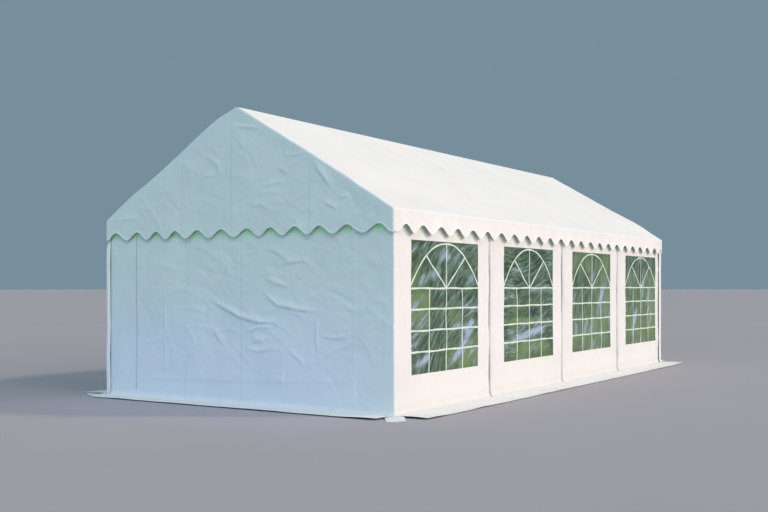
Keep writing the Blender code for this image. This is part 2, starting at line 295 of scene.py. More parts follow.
class MarqueeSizes(bpy.types.PropertyGroup):
    """Sizes of the cloth's relief and of the small parts."""

    roof_sag: length_property("Roof sag", "How far the roof hangs between two frames", 0.012)
    eaves_radius: length_property("Eaves radius", "Radius of the bend over the eaves tubes", 0.024)
    ridge_radius: length_property("Ridge radius", "Radius of the bend over the ridge tube", 0.10)
    swell: length_property("Swell of the walls", "Height of the soft waves in the wall cloth", 0.004)
    crease: length_property("Depth of creases", "Height of the creases of the end walls", 0.012)
    lip: length_property("Lip of a panel", "How far a panel's near edge stands out over the last", 0.021)
    cloth: length_property("Cloth thickness", "Thickness of the shown sheets", 0.0012)
    bar: length_property("Window bar", "Width of the white bars on a window", 0.018)
    tie_cord: length_property("Tie cord", "Thickness of the elastic cord of the ties", 0.005)
    slider: length_property("Zip slider", "Length of the body of a zip slider", 0.022)
    film_wave: length_property("Waves of the film", "Height of the waves in the window film", 0.003)


class MarqueeColors(bpy.types.PropertyGroup):
    """Colours of the materials and of the studio."""

    cloth: color_property("Cloth", "Coated white cloth", (0.86, 0.865, 0.85))
    # The film's colours are its painted reflections: dark and green streaks, light green patches and
    # bright blue streaks
    film_dark: color_property("Film, dark", "Darkest streaks of the window film", (0.022, 0.046, 0.034))
    film_green: color_property("Film, green", "Main tone of the window film", (0.090, 0.165, 0.105))
    film_reflected_green: color_property("Film, light green", "Light patches of the film", (0.155, 0.255, 0.165))
    film_reflected_blue: color_property("Film, blue", "Bright streaks of the window film", (0.27, 0.36, 0.46))
    bars: color_property("Window bars", "White print of the window bars", (0.74, 0.86, 0.76))
    zip: color_property("Zip", "Tape and teeth of the zips", (0.58, 0.62, 0.64))
    cord: color_property("Ties", "Elastic cord of the ties", (0.80, 0.80, 0.77))
    steel: color_property("Steel", "Galvanised tubes", (0.62, 0.64, 0.66))
    floor: color_property("Floor", "Plain studio floor", (0.42, 0.40, 0.43))
    sun: color_property("Main light", "Warm main light", (1.0, 0.817, 0.728))
    sky: color_property("Fill light", "Cool light from all round", (0.56, 0.82, 1.0))


def sizes():
    return bpy.context.scene.marquee_sizes


def colors():
    return bpy.context.scene.marquee_colors


# Materials


def made_once(maker):
    """Make a material at its first use, and give the same one to every later piece."""
    kept = []

    def give():
        if not kept:
            kept.append(maker())
        return kept[0]

    return give


DUST = (0.62, 0.60, 0.54, 1.0)
# Green of the film's painted reflections
REFLECTED_GREEN = (0.20, 0.32, 0.11, 1.0)
# Colour factors of the painted green shade under the valances
GREEN_SHADE_TINT = (0.64, 0.95, 0.50)


@made_once
def cloth_material():
    """Coated white cloth: satin, with fine weave, small crinkles, soft wear and darker seams, and with
    painted shade low on the walls and under the valances.
    """
    board = Board("creased_cloth")
    tone = tuple(colors().cloth)
    place = board.object_place()
    sheet = board.sheet_place()
    clouds = board.noise(place, 1.7, 4.0, 0.55)
    crinkle = board.noise(place, 7.0, 5.0, 0.6, 0.4)
    fine = board.noise(place, 38.0, 3.0, 0.6)
    ridges = 1.0 - ((crinkle - 0.5) * 5.0).size()
    weave_run = (board.split(sheet, 0) * WEAVE_TURNS).sine()
    weave_rise = (board.split(sheet, 1) * WEAVE_TURNS).sine()
    weave = weave_run * weave_rise
    near_ground = 1.0 - board.split(place, 2).between(0.0, 0.14)
    dust = near_ground * board.noise(place, 5.0, 5.0, 0.65).between(0.42, 0.75)
    clean = board.blend(clouds.between(0.35, 0.7), opaque(tone), shade_of(tone, 0.965))
    # Darker along welded seams, and painted shade low on the walls, as stored on each sheet
    shaded = board.blend(board.stored("shade", "Fac") * 0.35, clean, shade_of(tone, 0.55))
    # Painted green shade high on the walls, under the valances
    green_shade_color = opaque(part * tint for part, tint in zip(tone, GREEN_SHADE_TINT))
    shaded = board.blend(board.stored("damp", "Fac"), shaded, green_shade_color)
    color = board.blend(dust * 0.30, shaded, DUST)
    relief = board.bump(crinkle, 0.0036)
    relief = board.bump(ridges.between(0.55, 1.0), 0.0007, normal=relief)
    relief = board.bump(fine, 0.0006, normal=relief)
    relief = board.bump(weave, 0.00003, normal=relief)
    return board.finish(
        Base_Color=color,
        Roughness=fine * 0.14 + 0.50 + dust * 0.2,
        Normal=relief,
        Specular_IOR_Level=0.4,
    )


@made_once
def film_material():
    """Clear film whose colour is painted reflection: streaks, glints and green or dark patches, laid
    along the stored streak place.
    """
    board = Board("streaked_film")
    tones = colors()
    streak = board.stored("streak", "Vector")
    glint = board.stored("glint", "Fac")
    tint = board.stored("tint", "Fac")
    place = board.object_place()
    broad = board.noise(streak, 1.0, 4.0, 0.6, 0.5)
    lines = board.noise(streak, 2.3, 3.0, 0.6, 0.3)
    threads = board.noise(streak, 6.5, 4.0, 0.65, 0.3)
    patches = board.noise(place, 2.1, 3.0, 0.5, 0.4)
    # How bright the painted reflection is at each place, from streak noises, painted glints, patches and
    # the stored painted tone
    light = lines * 0.42 + threads * 0.38 + broad * 0.20 + glint * 0.20
    light = light + patches * 0.22 + tint * 0.04 - 0.080
    stops = [
        (0.40, tones.film_dark),
        (0.465, tones.film_green * 0.55),
        (0.52, tones.film_green),
        (0.575, tones.film_reflected_green),
        (0.64, tones.film_reflected_blue),
        (0.74, tones.film_reflected_blue * 1.5),
    ]
    streaks = board.add("ShaderNodeValToRGB", {"stops": stops}, {0: light})
    # Painted green reflections: noise patches and the stored number above 0, none on the bright streaks
    green_reflection = board.noise(place, 1.3, 2.0, 0.5).between(0.50, 0.62) * 0.5 + tint.between(0.05, 0.9) * 0.7
    green_reflection = green_reflection * (1.0 - light.between(0.56, 0.64))
    color = board.blend(green_reflection, streaks, REFLECTED_GREEN)
    bright = light.between(0.55, 0.7)
    relief = board.bump(lines, 0.004)
    return board.finish(
        Base_Color=color,
        Roughness=threads * 0.08 + 0.07,
        Alpha=bright * 0.12 + 0.80,
        Normal=relief,
        IOR=1.45,
    )


@made_once
def bar_material():
    """White bars welded on the film."""
    board = Board("printed_bars")
    tone = tuple(colors().bars)
    place = board.object_place()
    wear = board.noise(place, 45.0, 4.0, 0.6)
    color = board.blend(wear.between(0.4, 0.75), opaque(tone), shade_of(tone, 0.9))
    return board.finish(Base_Color=color, Roughness=wear * 0.2 + 0.25, Normal=board.bump(wear, 0.0008))


@made_once
def zip_material():
    """Zip tape with a row of small teeth along its length."""
    board = Board("zip_tape")
    tone = tuple(colors().zip)
    sheet = board.sheet_place()
    teeth = (board.split(sheet, 1) * TOOTH_TURNS).sine()
    across = board.split(sheet, 0).size()
    row = 1.0 - across.between(0.0015, 0.0035)
    color = board.blend(row * (teeth * 0.5 + 0.5), opaque(tone), shade_of(tone, 0.45))
    return board.finish(
        Base_Color=color,
        Roughness=0.45 + row * 0.1,
        Normal=board.bump(row * teeth, 0.0006),
    )


@made_once
def cord_material():
    """Braided elastic cord, a little grey with use."""
    board = Board("braided_cord")
    tone = tuple(colors().cord)
    place = board.object_place()
    braid = board.add("ShaderNodeTexVoronoi", inputs={"Vector": place, "Scale": 700.0}, output="Distance")
    wear = board.noise(place, 60.0, 3.0, 0.6)
    color = board.blend(wear.between(0.35, 0.75), opaque(tone), shade_of(tone, 0.82))
    return board.finish(Base_Color=color, Roughness=wear * 0.2 + 0.55, Normal=board.bump(braid, 0.0004))


@made_once
def steel_material():
    """Dull galvanised tube with faint spangle."""
    board = Board("spangled_steel")
    tone = tuple(colors().steel)
    place = board.object_place()
    spangle = board.add("ShaderNodeTexVoronoi", inputs={"Vector": place, "Scale": 70.0}, output="Color")
    flakes = board.split(spangle, 0)
    stain = board.noise(place, 6.0, 4.0, 0.6)
    color = board.blend(flakes, opaque(tone), shade_of(tone, 0.84))
    color = board.blend(stain.between(0.55, 0.8) * 0.4, color, shade_of(tone, 0.6))
    return board.finish(
        Base_Color=color,
        Metallic=0.85,
        Roughness=flakes * 0.12 + 0.34 + stain * 0.1,
        Normal=board.bump(stain, 0.0008),
    )


def floor_material():
    board = Board("studio_floor")
    tone = tuple(colors().floor)
    grain = board.noise(board.object_place(), 0.4, 4.0, 0.5)
    color = board.blend(grain.between(0.3, 0.8), opaque(tone), shade_of(tone, 0.97))
    return board.finish(Base_Color=color, Roughness=0.9, Specular_IOR_Level=0.2)


# Sheets


def marks(*stops, cell):
    """Borders of cells that hit every stop, and lie no further apart than cell."""
    values = [stops[0]]
    for low, high in zip(stops, stops[1:]):
        count = max(1, math.ceil(abs(high - low) / cell - 1e-6))
        values += [low + (high - low) * step / count for step in range(1, count + 1)]
    return np.array(values)


def grid_sheet(name, columns, rows, place, outward, keep=None, thickness=None, stored=None):
    """A sheet whose columns and rows have the places given, bent by place(across, up, column, row).

    keep(across, up) says which cells stay, outward is the side that most of it faces, and stored
    holds functions of (across, up) whose numbers or vectors are kept on the sheet for its material.
    """
    bpy.ops.object.select_all(action="DESELECT")
    wide, high = len(columns) - 1, len(rows) - 1
    bpy.ops.mesh.primitive_grid_add(x_subdivisions=wide, y_subdivisions=high, size=2)
    sheet = bpy.context.object
    sheet.name = sheet.data.name = name
    mesh = sheet.data
    spots = read_points(mesh)
    spots[:, 0] = np.rint((spots[:, 0] + 1) / 2 * wide)
    spots[:, 1] = np.rint((spots[:, 1] + 1) / 2 * high)
    write_points(mesh, spots)
    write_flat_map(mesh, columns, rows, spots)
    if keep is not None:
        cut_cells(mesh, columns, rows, keep)
        spots = read_points(mesh)
    column = np.rint(spots[:, 0]).astype(int)
    row = np.rint(spots[:, 1]).astype(int)
    across, up = columns[column], rows[row]
    write_points(mesh, np.stack(place(across, up, column, row), axis=1))
    for key, values in (stored or {}).items():
        store(mesh, key, values(across, up))
    face_outwards(mesh, outward)
    if thickness:
        solidify = sheet.modifiers.new("thickness", "SOLIDIFY")
        solidify.thickness = thickness
        solidify.offset = -1.0
        bpy.ops.object.modifier_apply(modifier=solidify.name)
    bpy.ops.object.shade_smooth_by_angle(angle=SMOOTH_ANGLE)
    return sheet


def join_parts(parts, name):
    """Join the parts of one piece, with its rounded edges shown smooth."""
    bpy.ops.object.select_all(action="DESELECT")
    for part in parts:
        part.select_set(True)
    bpy.context.view_layer.objects.active = parts[0]
    bpy.ops.object.join()
    joined = bpy.context.object
    joined.name = joined.data.name = name
    bpy.ops.object.shade_smooth_by_angle(angle=SMOOTH_ANGLE)
    return joined


def store(mesh, key, values):
    """Keep a number, or a vector where three rows are given, at each point of a mesh."""
    if isinstance(values, tuple):
        attribute = mesh.attributes.new(key, "FLOAT_VECTOR", "POINT")
        attribute.data.foreach_set("vector", np.stack(values, axis=1).ravel())
    else:
        attribute = mesh.attributes.new(key, "FLOAT", "POINT")
        attribute.data.foreach_set("value", values)


def read_points(mesh):
    values = np.empty(len(mesh.vertices) * 3)
    mesh.vertices.foreach_get("co", values)
    return values.reshape(-1, 3)


def write_points(mesh, points):
    mesh.vertices.foreach_set("co", points.ravel())
    mesh.update()


def write_flat_map(mesh, columns, rows, spots):
    """A map of the sheet in metres, as it lies flat."""
    corners = np.empty(len(mesh.loops), dtype=np.int32)
    mesh.loops.foreach_get("vertex_index", corners)
    column = spots[corners, 0].astype(int)
    row = spots[corners, 1].astype(int)
    flat = np.stack([columns[column], rows[row]], axis=1)
    mesh.uv_layers[0].uv.foreach_set("vector", flat.ravel())


def cut_cells(mesh, columns, rows, keep):
    """Delete the cells that aren't kept."""
    centers = np.empty(len(mesh.polygons) * 3)
    mesh.polygons.foreach_get("center", centers)
    cell = np.floor(centers.reshape(-1, 3)[:, :2]).astype(int)
    across = (columns[cell[:, 0]] + columns[cell[:, 0] + 1]) / 2
    up = (rows[cell[:, 1]] + rows[cell[:, 1] + 1]) / 2
    bpy.ops.object.mode_set(mode="EDIT")
    bpy.ops.mesh.select_all(action="DESELECT")
    bpy.ops.object.mode_set(mode="OBJECT")
    mesh.polygons.foreach_set("select", np.logical_not(keep(across, up)))
    bpy.ops.object.mode_set(mode="EDIT")
    bpy.ops.mesh.delete(type="FACE")
    bpy.ops.object.mode_set(mode="OBJECT")


def face_outwards(mesh, outward):
    """Turn the sheet's faces so that on the whole they face outward."""
    normals = np.empty(len(mesh.polygons) * 3)
    areas = np.empty(len(mesh.polygons))
    mesh.polygons.foreach_get("normal", normals)
    mesh.polygons.foreach_get("area", areas)
    total = (normals.reshape(-1, 3) * areas[:, None]).sum(axis=0)
    if Vector(total).dot(Vector(outward)) < 0:
        mesh.flip_normals()


def dress(piece, material, slot, *nodes):
    """Give a piece its material, let it ride on the tent, and hide what it stands for. The slot is not
    used.
    """
    piece.data.materials.clear()
    piece.data.materials.append(material)
    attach(piece, "root")
    if nodes:
        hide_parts(*nodes)


def panel_number(side, bay):
    """Number of a side panel, counted from the front. On the left side bay counts from the back."""
    return bay + 1 if side > 0 else BAY_COUNT - bay


def each_bay(make):
    """Make a piece for every bay of both sides."""
    for word, side in SIDES:
        for bay in range(BAY_COUNT):
            make(word, side, bay)


def smooth_step(value):
    value = np.clip(value, 0.0, 1.0)
    return value * value * (3 - 2 * value)


def swell_field(seed, across, up, shortest, longest, count=9):
    """Soft waves in all directions, of about unit height."""
    draw = random.Random(seed)
    total = np.zeros_like(across)
    for _ in range(count):
        length = shortest * (longest / shortest) ** draw.random()
        turn = draw.uniform(0, math.pi)
        start = draw.uniform(0, 2 * math.pi)
        run = across * math.cos(turn) + up * math.sin(turn)
        bend = 0.35 * np.sin((up * math.cos(turn) - across * math.sin(turn)) * 2.1 / length + start)
        total += (length / longest) ** 0.8 * np.sin(2 * math.pi * run / length + start + bend)
    return total * 1.4 / math.sqrt(count)


def crease_line(across, up, points, width, height, steep=0.45):
    """A crease along points that fades at both ends: width wide above the line, and steeper below it."""
    best = np.full(across.shape, 1e9)
    place = np.zeros(across.shape)
    spread = np.full(across.shape, width)
    lengths = [math.dist(first, second) for first, second in zip(points, points[1:])]
    total = sum(lengths)
    done = 0.0
    for (first, second), length in zip(zip(points, points[1:]), lengths):
        run = ((second[0] - first[0]) / length, (second[1] - first[1]) / length)
        along = (across - first[0]) * run[0] + (up - first[1]) * run[1]
        along = np.clip(along, 0.0, length)
        apart = np.hypot(across - first[0] - run[0] * along, up - first[1] - run[1] * along)
        nearer = apart < best
        hand = (up - first[1]) * run[0] - (across - first[0]) * run[1]
        best = np.where(nearer, apart, best)
        spread = np.where(nearer, np.where(hand > 0, width * 1.3, width * steep), spread)
        place = np.where(nearer, (done + along) / total, place)
        done += length
    fade = smooth_step(place / 0.3) * smooth_step((1 - place) / 0.3) * 0.85 + 0.15
    return height * fade * np.exp(-((best / spread) ** 2))


def crumple(seed, across, up, box, count, height):
    """Many short creases at seeded places in a box, most of them near level."""
    draw = random.Random(seed)
    low, high = box
    total = np.zeros_like(across)
    for _ in range(count):
        middle = (draw.uniform(low[0], high[0]), draw.uniform(low[1], high[1]))
        turn = draw.gauss(-0.15, 0.6)
        half = draw.uniform(0.06, 0.22)
        width = draw.uniform(0.016, 0.034)
        rise = height * draw.uniform(0.35, 1.0) * draw.choice((-1, 1, 1))
        run = ((across - middle[0]) * math.cos(turn) + (up - middle[1]) * math.sin(turn)) / half
        apart = (up - middle[1]) * math.cos(turn) - (across - middle[0]) * math.sin(turn)
        apart = apart - 0.12 * half * (1 - run**2)
        spread = np.where(apart > 0, width * 1.4, width * 0.6)
        total += rise * np.exp(-((apart / spread) ** 2)) * np.exp(-(run**4))
    return total


def uneven(place):
    """The side valances' scallops stand a little nearer the front at that end."""
    return place + 0.035 * np.exp(-(((place + 3.5) / 0.45) ** 2))


# Places across a gable, and how far its scallops stand off their even places there
GABLE_SHIFTS = np.array([
    (-2.0, 0.0), (-1.5, 0.016), (-1.17, -0.016), (-0.83, -0.061), (-0.5, -0.059), (-0.17, -0.042),
    (0.17, -0.014), (0.5, -0.027), (0.83, -0.039), (1.17, -0.063), (1.5, -0.047), (1.83, 0.0), (2.0, 0.0),
])


def uneven_gable(place):
    places, shifts = GABLE_SHIFTS.T
    return place - np.interp(place, places, shifts)


def scallop_edge(place, half_span, lead):
    """Height of the valance's scalloped lower edge."""
    rise = 0.5 + 0.5 * np.cos(2 * math.pi * (place + half_span + lead) / SCALLOP_PITCH)
    from_corner = np.maximum(0.0, half_span - np.abs(place))
    fade = np.minimum(1.0, from_corner / SCALLOP_LEAD)
    return EAVES - VALANCE_DROP + SCALLOP_DEPTH * rise * fade


# Roof


def bend_rows(center, radius, start, end, part):
    """Rows of a round bend of the roof's section between two angles, the first of them left out."""
    rows = []
    for step in range(1, BEND_STEPS + 1):
        angle = start + (end - start) * step / BEND_STEPS
        normal = np.array([math.cos(angle), math.sin(angle)])
        rows.append((center + normal * radius, normal, part))
    return rows


def roof_half():
    """Right-hand half of the roof's section, from the eaves up.

    Each row has its point and its normal, both as x and z, and its share of the slope.
    """
    eaves = np.array([HALF_WIDTH, EAVES])
    ridge = np.array([0.0, RIDGE + RIDGE_STAND])
    run = (ridge - eaves) / np.linalg.norm(ridge - eaves)
    length = np.linalg.norm(ridge - eaves)
    outward = np.array([run[1], -run[0]])
    slope = math.atan2(outward[1], outward[0])
    eaves_radius, ridge_radius = sizes().eaves_radius, sizes().ridge_radius
    cut_low = eaves_radius * math.tan(slope / 2)
    cut_high = ridge_radius * math.tan((math.pi / 2 - slope) / 2)
    low_center = np.array([HALF_WIDTH - eaves_radius, EAVES - cut_low])
    high_center = ridge - np.array([0.0, ridge_radius / math.sin(slope)])
    level = np.array([1.0, 0.0])
    rows = [(low_center + level * eaves_radius, level, 0.0)]
    rows += bend_rows(low_center, eaves_radius, 0.0, slope, 0.0)
    for along in marks(cut_low, length / 2, length - cut_high, cell=0.052)[1:]:
        part = along / length
        swell = 1.0 - math.sqrt((2 * part - 1) ** 2 + 0.01)
        bulge = ROOF_BULGE * max(0.0, swell) * min(1.0, part * 12, (1 - part) * 12)
        rows.append((eaves + run * along + outward * bulge, outward, part))
    return rows + bend_rows(high_center, ridge_radius, slope, math.pi / 2, 1.0)


# Where the cloth stands off the rafters: place along, hand, share of the slope, half spans and height
ROOF_BUMPS = (
    (-4.0, -1, 0.84, 1.1, 0.26, 0.034),
    (-4.0, -1, 0.20, 0.8, 0.16, 0.020),
    (4.0, 1, 0.24, 0.7, 0.14, 0.026),
)


def roof_bump(along, hand, part):
    total = np.zeros_like(along)
    for place, side, share, reach, spread, height in ROOF_BUMPS:
        near = np.exp(-(((along - place) / reach) ** 2) - ((part - share) / spread) ** 2)
        total = total + np.where(hand == side, height * near * smooth_step((1 - part) / 0.14), 0.0)
    return total


def roof_height(x, end):
    """Height of the roof's outside over the place x at one end."""
    places = []
    for hand in (1, -1):
        for point, normal, part in roof_half():
            out = float(roof_bump(np.array(end), hand, part))
            places.append((hand * (point[0] + normal[0] * out), point[1] + normal[1] * out))
    outer, height = np.array(sorted(places)).T
    return np.interp(x, outer, height)


def roof_rows():
    """All rows of the roof sheet from the right valance's edge to the left one's.

    Each has its point, its normal, its share of the slope and its share of the valance's drop, which is
    0 at the scallops and 1 from the eaves up.
    """
    drops = np.concatenate([marks(0.0, 0.07, cell=0.035), marks(0.075, 1.0, cell=0.09)])
    half = roof_half()
    first = half[0][0]
    right = [(first, np.array([1.0, 0.0]), 0.0, drop) for drop in drops[:-1]]
    right += [(point, normal, part, 1.0) for point, normal, part in half]
    flip = np.array([-1.0, 1.0])
    left = [(point * flip, normal * flip, part, drop) for point, normal, part, drop in right[:-1][::-1]]
    return right + left


def roof_place(rows):
    """The function that bends the roof sheet."""
    point = np.array([row[0] for row in rows])
    normal = np.array([row[1] for row in rows])
    part = np.array([row[2] for row in rows])
    drop = np.array([row[3] for row in rows])
    side = np.sign(point[:, 0])
    sag = sizes().roof_sag

    def place(across, up, column, row):
        x, z = point[row, 0], point[row, 1]
        hang = 1.0 - drop[row]
        free = smooth_step((HALF_LENGTH - np.abs(across)) / 0.30)
        edge = scallop_edge(uneven(across + SCALLOP_SHIFT * free), HALF_LENGTH, SCALLOP_LEAD)
        z = np.where(drop[row] < 1.0, edge + (z - edge) * drop[row], z)
        in_bay = np.sin(math.pi * across / BAY) ** 2
        in_field = np.sin(2 * math.pi * part[row]) ** 2
        high_field = np.where(part[row] > 0.5, 1.0, 0.75)
        out = -sag * in_bay * in_field * high_field
        slope_place = part[row] * 2.3 + side[row] * 7.0
        out += ROOF_WAVE * swell_field(11, across, slope_place, 0.25, 1.1) * np.minimum(1.0, in_field * 2)
        from_frame = np.abs(across - np.rint(across / BAY) * BAY)
        pull = np.exp(-((from_frame / 0.16) ** 2))
        near_eaves = np.exp(-(part[row] / 0.10) ** 2) * (part[row] > 0)
        out += EAVES_PUCKER * pull * near_eaves * np.sin(across * 46 + side[row])
        out += roof_bump(across, side[row], part[row])
        welded = (from_frame < WELD_HALF) & (np.abs(across) < 3.5)
        hemmed = np.abs(across) > HALF_LENGTH - END_HEM
        out += np.where(welded | hemmed, WELD_RISE, 0.0)
        out += VALANCE_WAVE * hang * swell_field(12, across, side[row] * 5.0, 0.3, 0.9)
        out += VALANCE_FLARE * hang**1.5 * free
        out += np.where((hang > 0) & (drop[row] < VALANCE_HEM), VALANCE_HEM_RISE, 0.0)
        return x + normal[row, 0] * out, across, z + normal[row, 1] * out

    return place


def make_roof():
    rows = roof_rows()
    flat = [0.0]
    for (first, _, _, drop_a), (second, _, _, drop_b) in zip(rows, rows[1:]):
        step = math.dist(first, second) + abs(drop_a - drop_b) * (VALANCE_DROP - 0.04)
        flat.append(flat[-1] + step)
    flat = np.array(flat) - flat[-1] / 2
    end = HALF_LENGTH - 0.007
    hem = HALF_LENGTH - END_HEM
    welds = [place + step for place in (-BAY, 0.0, BAY) for step in (-WELD_HALF, WELD_HALF)]
    columns = marks(-end, -hem, *welds, hem, end, cell=0.024)
    up = (0.0, 0.0, 1.0)
    roof = grid_sheet("roof_cloth", columns, flat, roof_place(rows), up, thickness=sizes().cloth)
    dress(roof, cloth_material(), "cloth", "roof_cover")


class MARQUEE_OT_roof(bpy.types.Operator):
    """Roof sheet over both slopes, with its scalloped valances"""

    bl_idname = "marquee.roof"
    bl_label = "Roof"

    def execute(self, context):
        make_roof()
        return {"FINISHED"}


# Gables

# Each crease has its points across and up, its width, and its height as a share of the depth of creases
GABLE_SEAMS = (-0.80, -0.078, 0.975)
GABLE_CREASES = [
    ([(-0.05, 2.96), (0.143, 2.938), (0.33, 2.91)], 0.02, 0.7),
    ([(0.664, 2.74), (0.664, 2.60), (0.83, 2.605), (0.985, 2.614)], 0.012, 0.5),
    ([(1.035, 2.511), (1.16, 2.365), (1.258, 2.241)], 0.035, 0.8),
    ([(0.573, 2.479), (0.703, 2.42)], 0.03, 0.6),
    ([(0.387, 2.295), (0.52, 2.319), (0.677, 2.351)], 0.03, 0.6),
    ([(1.16, 2.107), (1.332, 2.031)], 0.03, 0.7),
    ([(1.344, 2.129), (1.477, 2.162)], 0.025, 0.6),
    ([(-0.507, 2.436), (-0.276, 2.466)], 0.03, 0.5),
    ([(0.116, 2.089), (0.333, 2.112), (0.52, 2.032)], 0.03, 0.5),
    ([(-0.333, 2.618), (-0.219, 2.526)], 0.025, 0.5),
    ([(-1.87, 2.008), (-1.513, 2.042)], 0.02, 0.4),
]


def crease_relief(across, up, creases):
    """Sum of the creases in a list, for the depth set for creases."""
    depth = sizes().crease
    return sum(crease_line(across, up, points, width, depth * share) for points, width, share in creases)


def seam_lines(across, seams, width=0.006):
    """1 on the welded line of each upright seam, and 0 away from it."""
    return sum(np.exp(-(((across - seam) / width) ** 2)) for seam in seams)


def seam_groove(across, seams):
    """Depth of the narrow step at each upright seam."""
    return SEAM_DEPTH * seam_lines(across, seams, 0.007)


def seam_stops(seams):
    return [seam + step for seam in seams for step in (-0.014, -0.005, 0.0, 0.005, 0.014)]


def make_gable(word, side):
    rim = GABLE_RIM
    turns = [math.pi / 8 * step for step in range(1, 5)]
    inner = marks(-HALF_WIDTH + rim, *seam_stops(GABLE_SEAMS), HALF_WIDTH - rim, cell=0.0165)
    rim_high = [HALF_WIDTH - rim + rim * math.sin(turn) for turn in turns]
    columns = np.concatenate([[-x for x in rim_high[::-1]], inner, rim_high])
    column_turn = np.concatenate([turns[::-1], np.zeros(len(inner)), turns])
    steps = np.concatenate([marks(0.0, 0.012, cell=0.006), marks(0.014, 1.0, cell=0.0125)])
    rows = np.concatenate([steps, [1.0 + rim * turn for turn in turns]])
    row_turn = np.concatenate([np.zeros(len(steps)), turns])

    def place(across, up, column, row):
        low = scallop_edge(uneven_gable(across), HALF_WIDTH, SCALLOP_PITCH / 2)
        high = roof_height(across, side * HALF_LENGTH) - rim
        z = low + (high - low) * np.minimum(up, 1.0) + rim * np.sin(row_turn[row])
        turn = np.maximum(column_turn[column], row_turn[row])
        from_rim = smooth_step((HALF_WIDTH - np.abs(across)) / 0.2) * smooth_step((high - z) / 0.15)
        bends = crumple(31 + side, across, z, ((-2.0, 1.8), (2.0, 2.9)), 90, GABLE_CRUMPLE)
        hang = smooth_step((2.0 - z) / 0.2)
        loose = from_rim + 0.6 * hang * smooth_step((HALF_WIDTH - np.abs(across)) / 0.1)
        out = GABLE_WAVE * swell_field(21 + side, across, z, 0.28, 1.3) * np.clip(loose, 0, 1)
        out += crease_relief(across, z, GABLE_CREASES) + bends * from_rim
        out -= seam_groove(across, GABLE_SEAMS)
        out += np.where((z - low < 0.013) & (up < 0.5), GABLE_HEM_RISE, 0.0)
        y = HALF_LENGTH - 0.001 - rim * (1 - np.cos(turn)) + out * np.cos(turn)
        return across, side * y, z

    def gable_shade(across, up):
        return 0.75 * seam_lines(across, GABLE_SEAMS) * smooth_step((0.93 - up) / 0.2)

    gable = grid_sheet(
        f"gable_cloth_{word}",
        columns,
        rows,
        place,
        (0.0, side, 0.0),
        thickness=sizes().cloth,
        stored={"shade": gable_shade},
    )
    dress(gable, cloth_material(), "cloth", f"gable_{word}")


class MARQUEE_OT_gables(bpy.types.Operator):
    """Triangles of cloth at both ends, scalloped along their lower edge"""

    bl_idname = "marquee.gables"
    bl_label = "Gables"

    def execute(self, context):
        for word, side in ENDS:
            make_gable(word, side)
        return {"FINISHED"}


# Walls


def wall_rows(top, reach, *stops, cell=0.024):
    """Rows of a wall from its skirt's edge, up its fold and on to its top.

    Gives a table with each row's distance out, height, and the outward and upward share of its normal,
    and the place of each row in the flat sheet, which is its height from the fold up.
    """
    skirt = marks(reach, reach - 0.014, FOLD_RADIUS, cell=0.024)[:-1]
    rows = [(out, GROUND_CLEARANCE, 0.0, 1.0) for out in skirt]
    for step in range(9):
        angle = math.pi / 2 * (1 - step / 8)
        out = FOLD_RADIUS - FOLD_RADIUS * math.cos(angle)
        height = GROUND_CLEARANCE + FOLD_RADIUS - FOLD_RADIUS * math.sin(angle)
        rows.append((out, height, math.cos(angle), math.sin(angle)))
    standing = len(rows) - 1
    for height in marks(rows[-1][1], *stops, top, cell=cell)[1:]:
        rows.append((0.0, height, 1.0, 0.0))
    table = np.array(rows)
    steps = np.hypot(np.diff(table[:, 0]), np.diff(table[:, 1]))
    along = np.concatenate([[0.0], np.cumsum(steps)])
    return table, along - along[standing] + table[standing, 1]


def skirt_lift(seed, across, out, corners):
    """Height that the skirt gains: high at its fold, near the ground at its edge, and more at corners."""
    wave = swell_field(seed, across, out, 0.35, 1.2)
    share = smooth_step((out - FOLD_RADIUS) / 0.25)
    slope = 0.018 * smooth_step((out - 0.02) / 0.06) - 0.011 * np.clip((out - 0.08) / 0.3, 0.0, 1.0)
    return slope + share * (SKIRT_WAVE * np.maximum(0.0, wave) + corners)


def corner_lift(across, half, low, high):
    """What a skirt's edge gains near its two ends."""
    near_low = smooth_step((0.5 - half - across) / 0.4)
    near_high = smooth_step((0.5 - half + across) / 0.4)
    return low * near_low + high * near_high


def painted_foot_shade(up):
    """Painted shade on a wall, darker towards its foot and most in the fold there."""
    film = 0.6 * smooth_step((0.85 - np.maximum(up, 0.0)) / 0.8) * (up > -0.04)
    return film + 0.60 * np.exp(-(((up - 0.03) / 0.08) ** 2))


def low_shade(up):
    """Painted shade of an end wall, deepest at the ground."""
    return 0.4 * smooth_step((0.6 - up) / 0.6)


def damp(across, up):
    """Faint painted green shade high on a wall, under the scallops that shade the cloth."""
    return 0.85 * smooth_step((up - 1.745) / 0.11)


def wall_swell(seed, across, height):
    """Soft relief of a wall's cloth, still along its top and at its foot."""
    hold = smooth_step((WALL_TOP - height) / 0.3) * smooth_step((height - 0.03) / 0.25)
    slow = swell_field(seed, across, height, 0.45, 1.6)
    quick = swell_field(seed + 1, across, height, 0.10, 0.35)
    area = ((-HALF_LENGTH, 0.2), (HALF_LENGTH, 1.75))
    bends = crumple(seed + 2, across, height, area, 260, SIDE_CRUMPLE)
    return sizes().swell * hold * (slow + 0.14 * quick) + hold * bends


def window_span(bay):
    """Start and end of a window along a side, as seen in the right-hand side's own direction."""
    middle = -HALF_LENGTH + BAY * bay + BAY / 2 + WINDOW_SHIFT
    return middle - WINDOW_WIDTH / 2, middle + WINDOW_WIDTH / 2


def side_relief(bay, along, height):
    """Relief of a side panel, which its window film shares."""
    return wall_swell(40 + bay * 3, along, height)


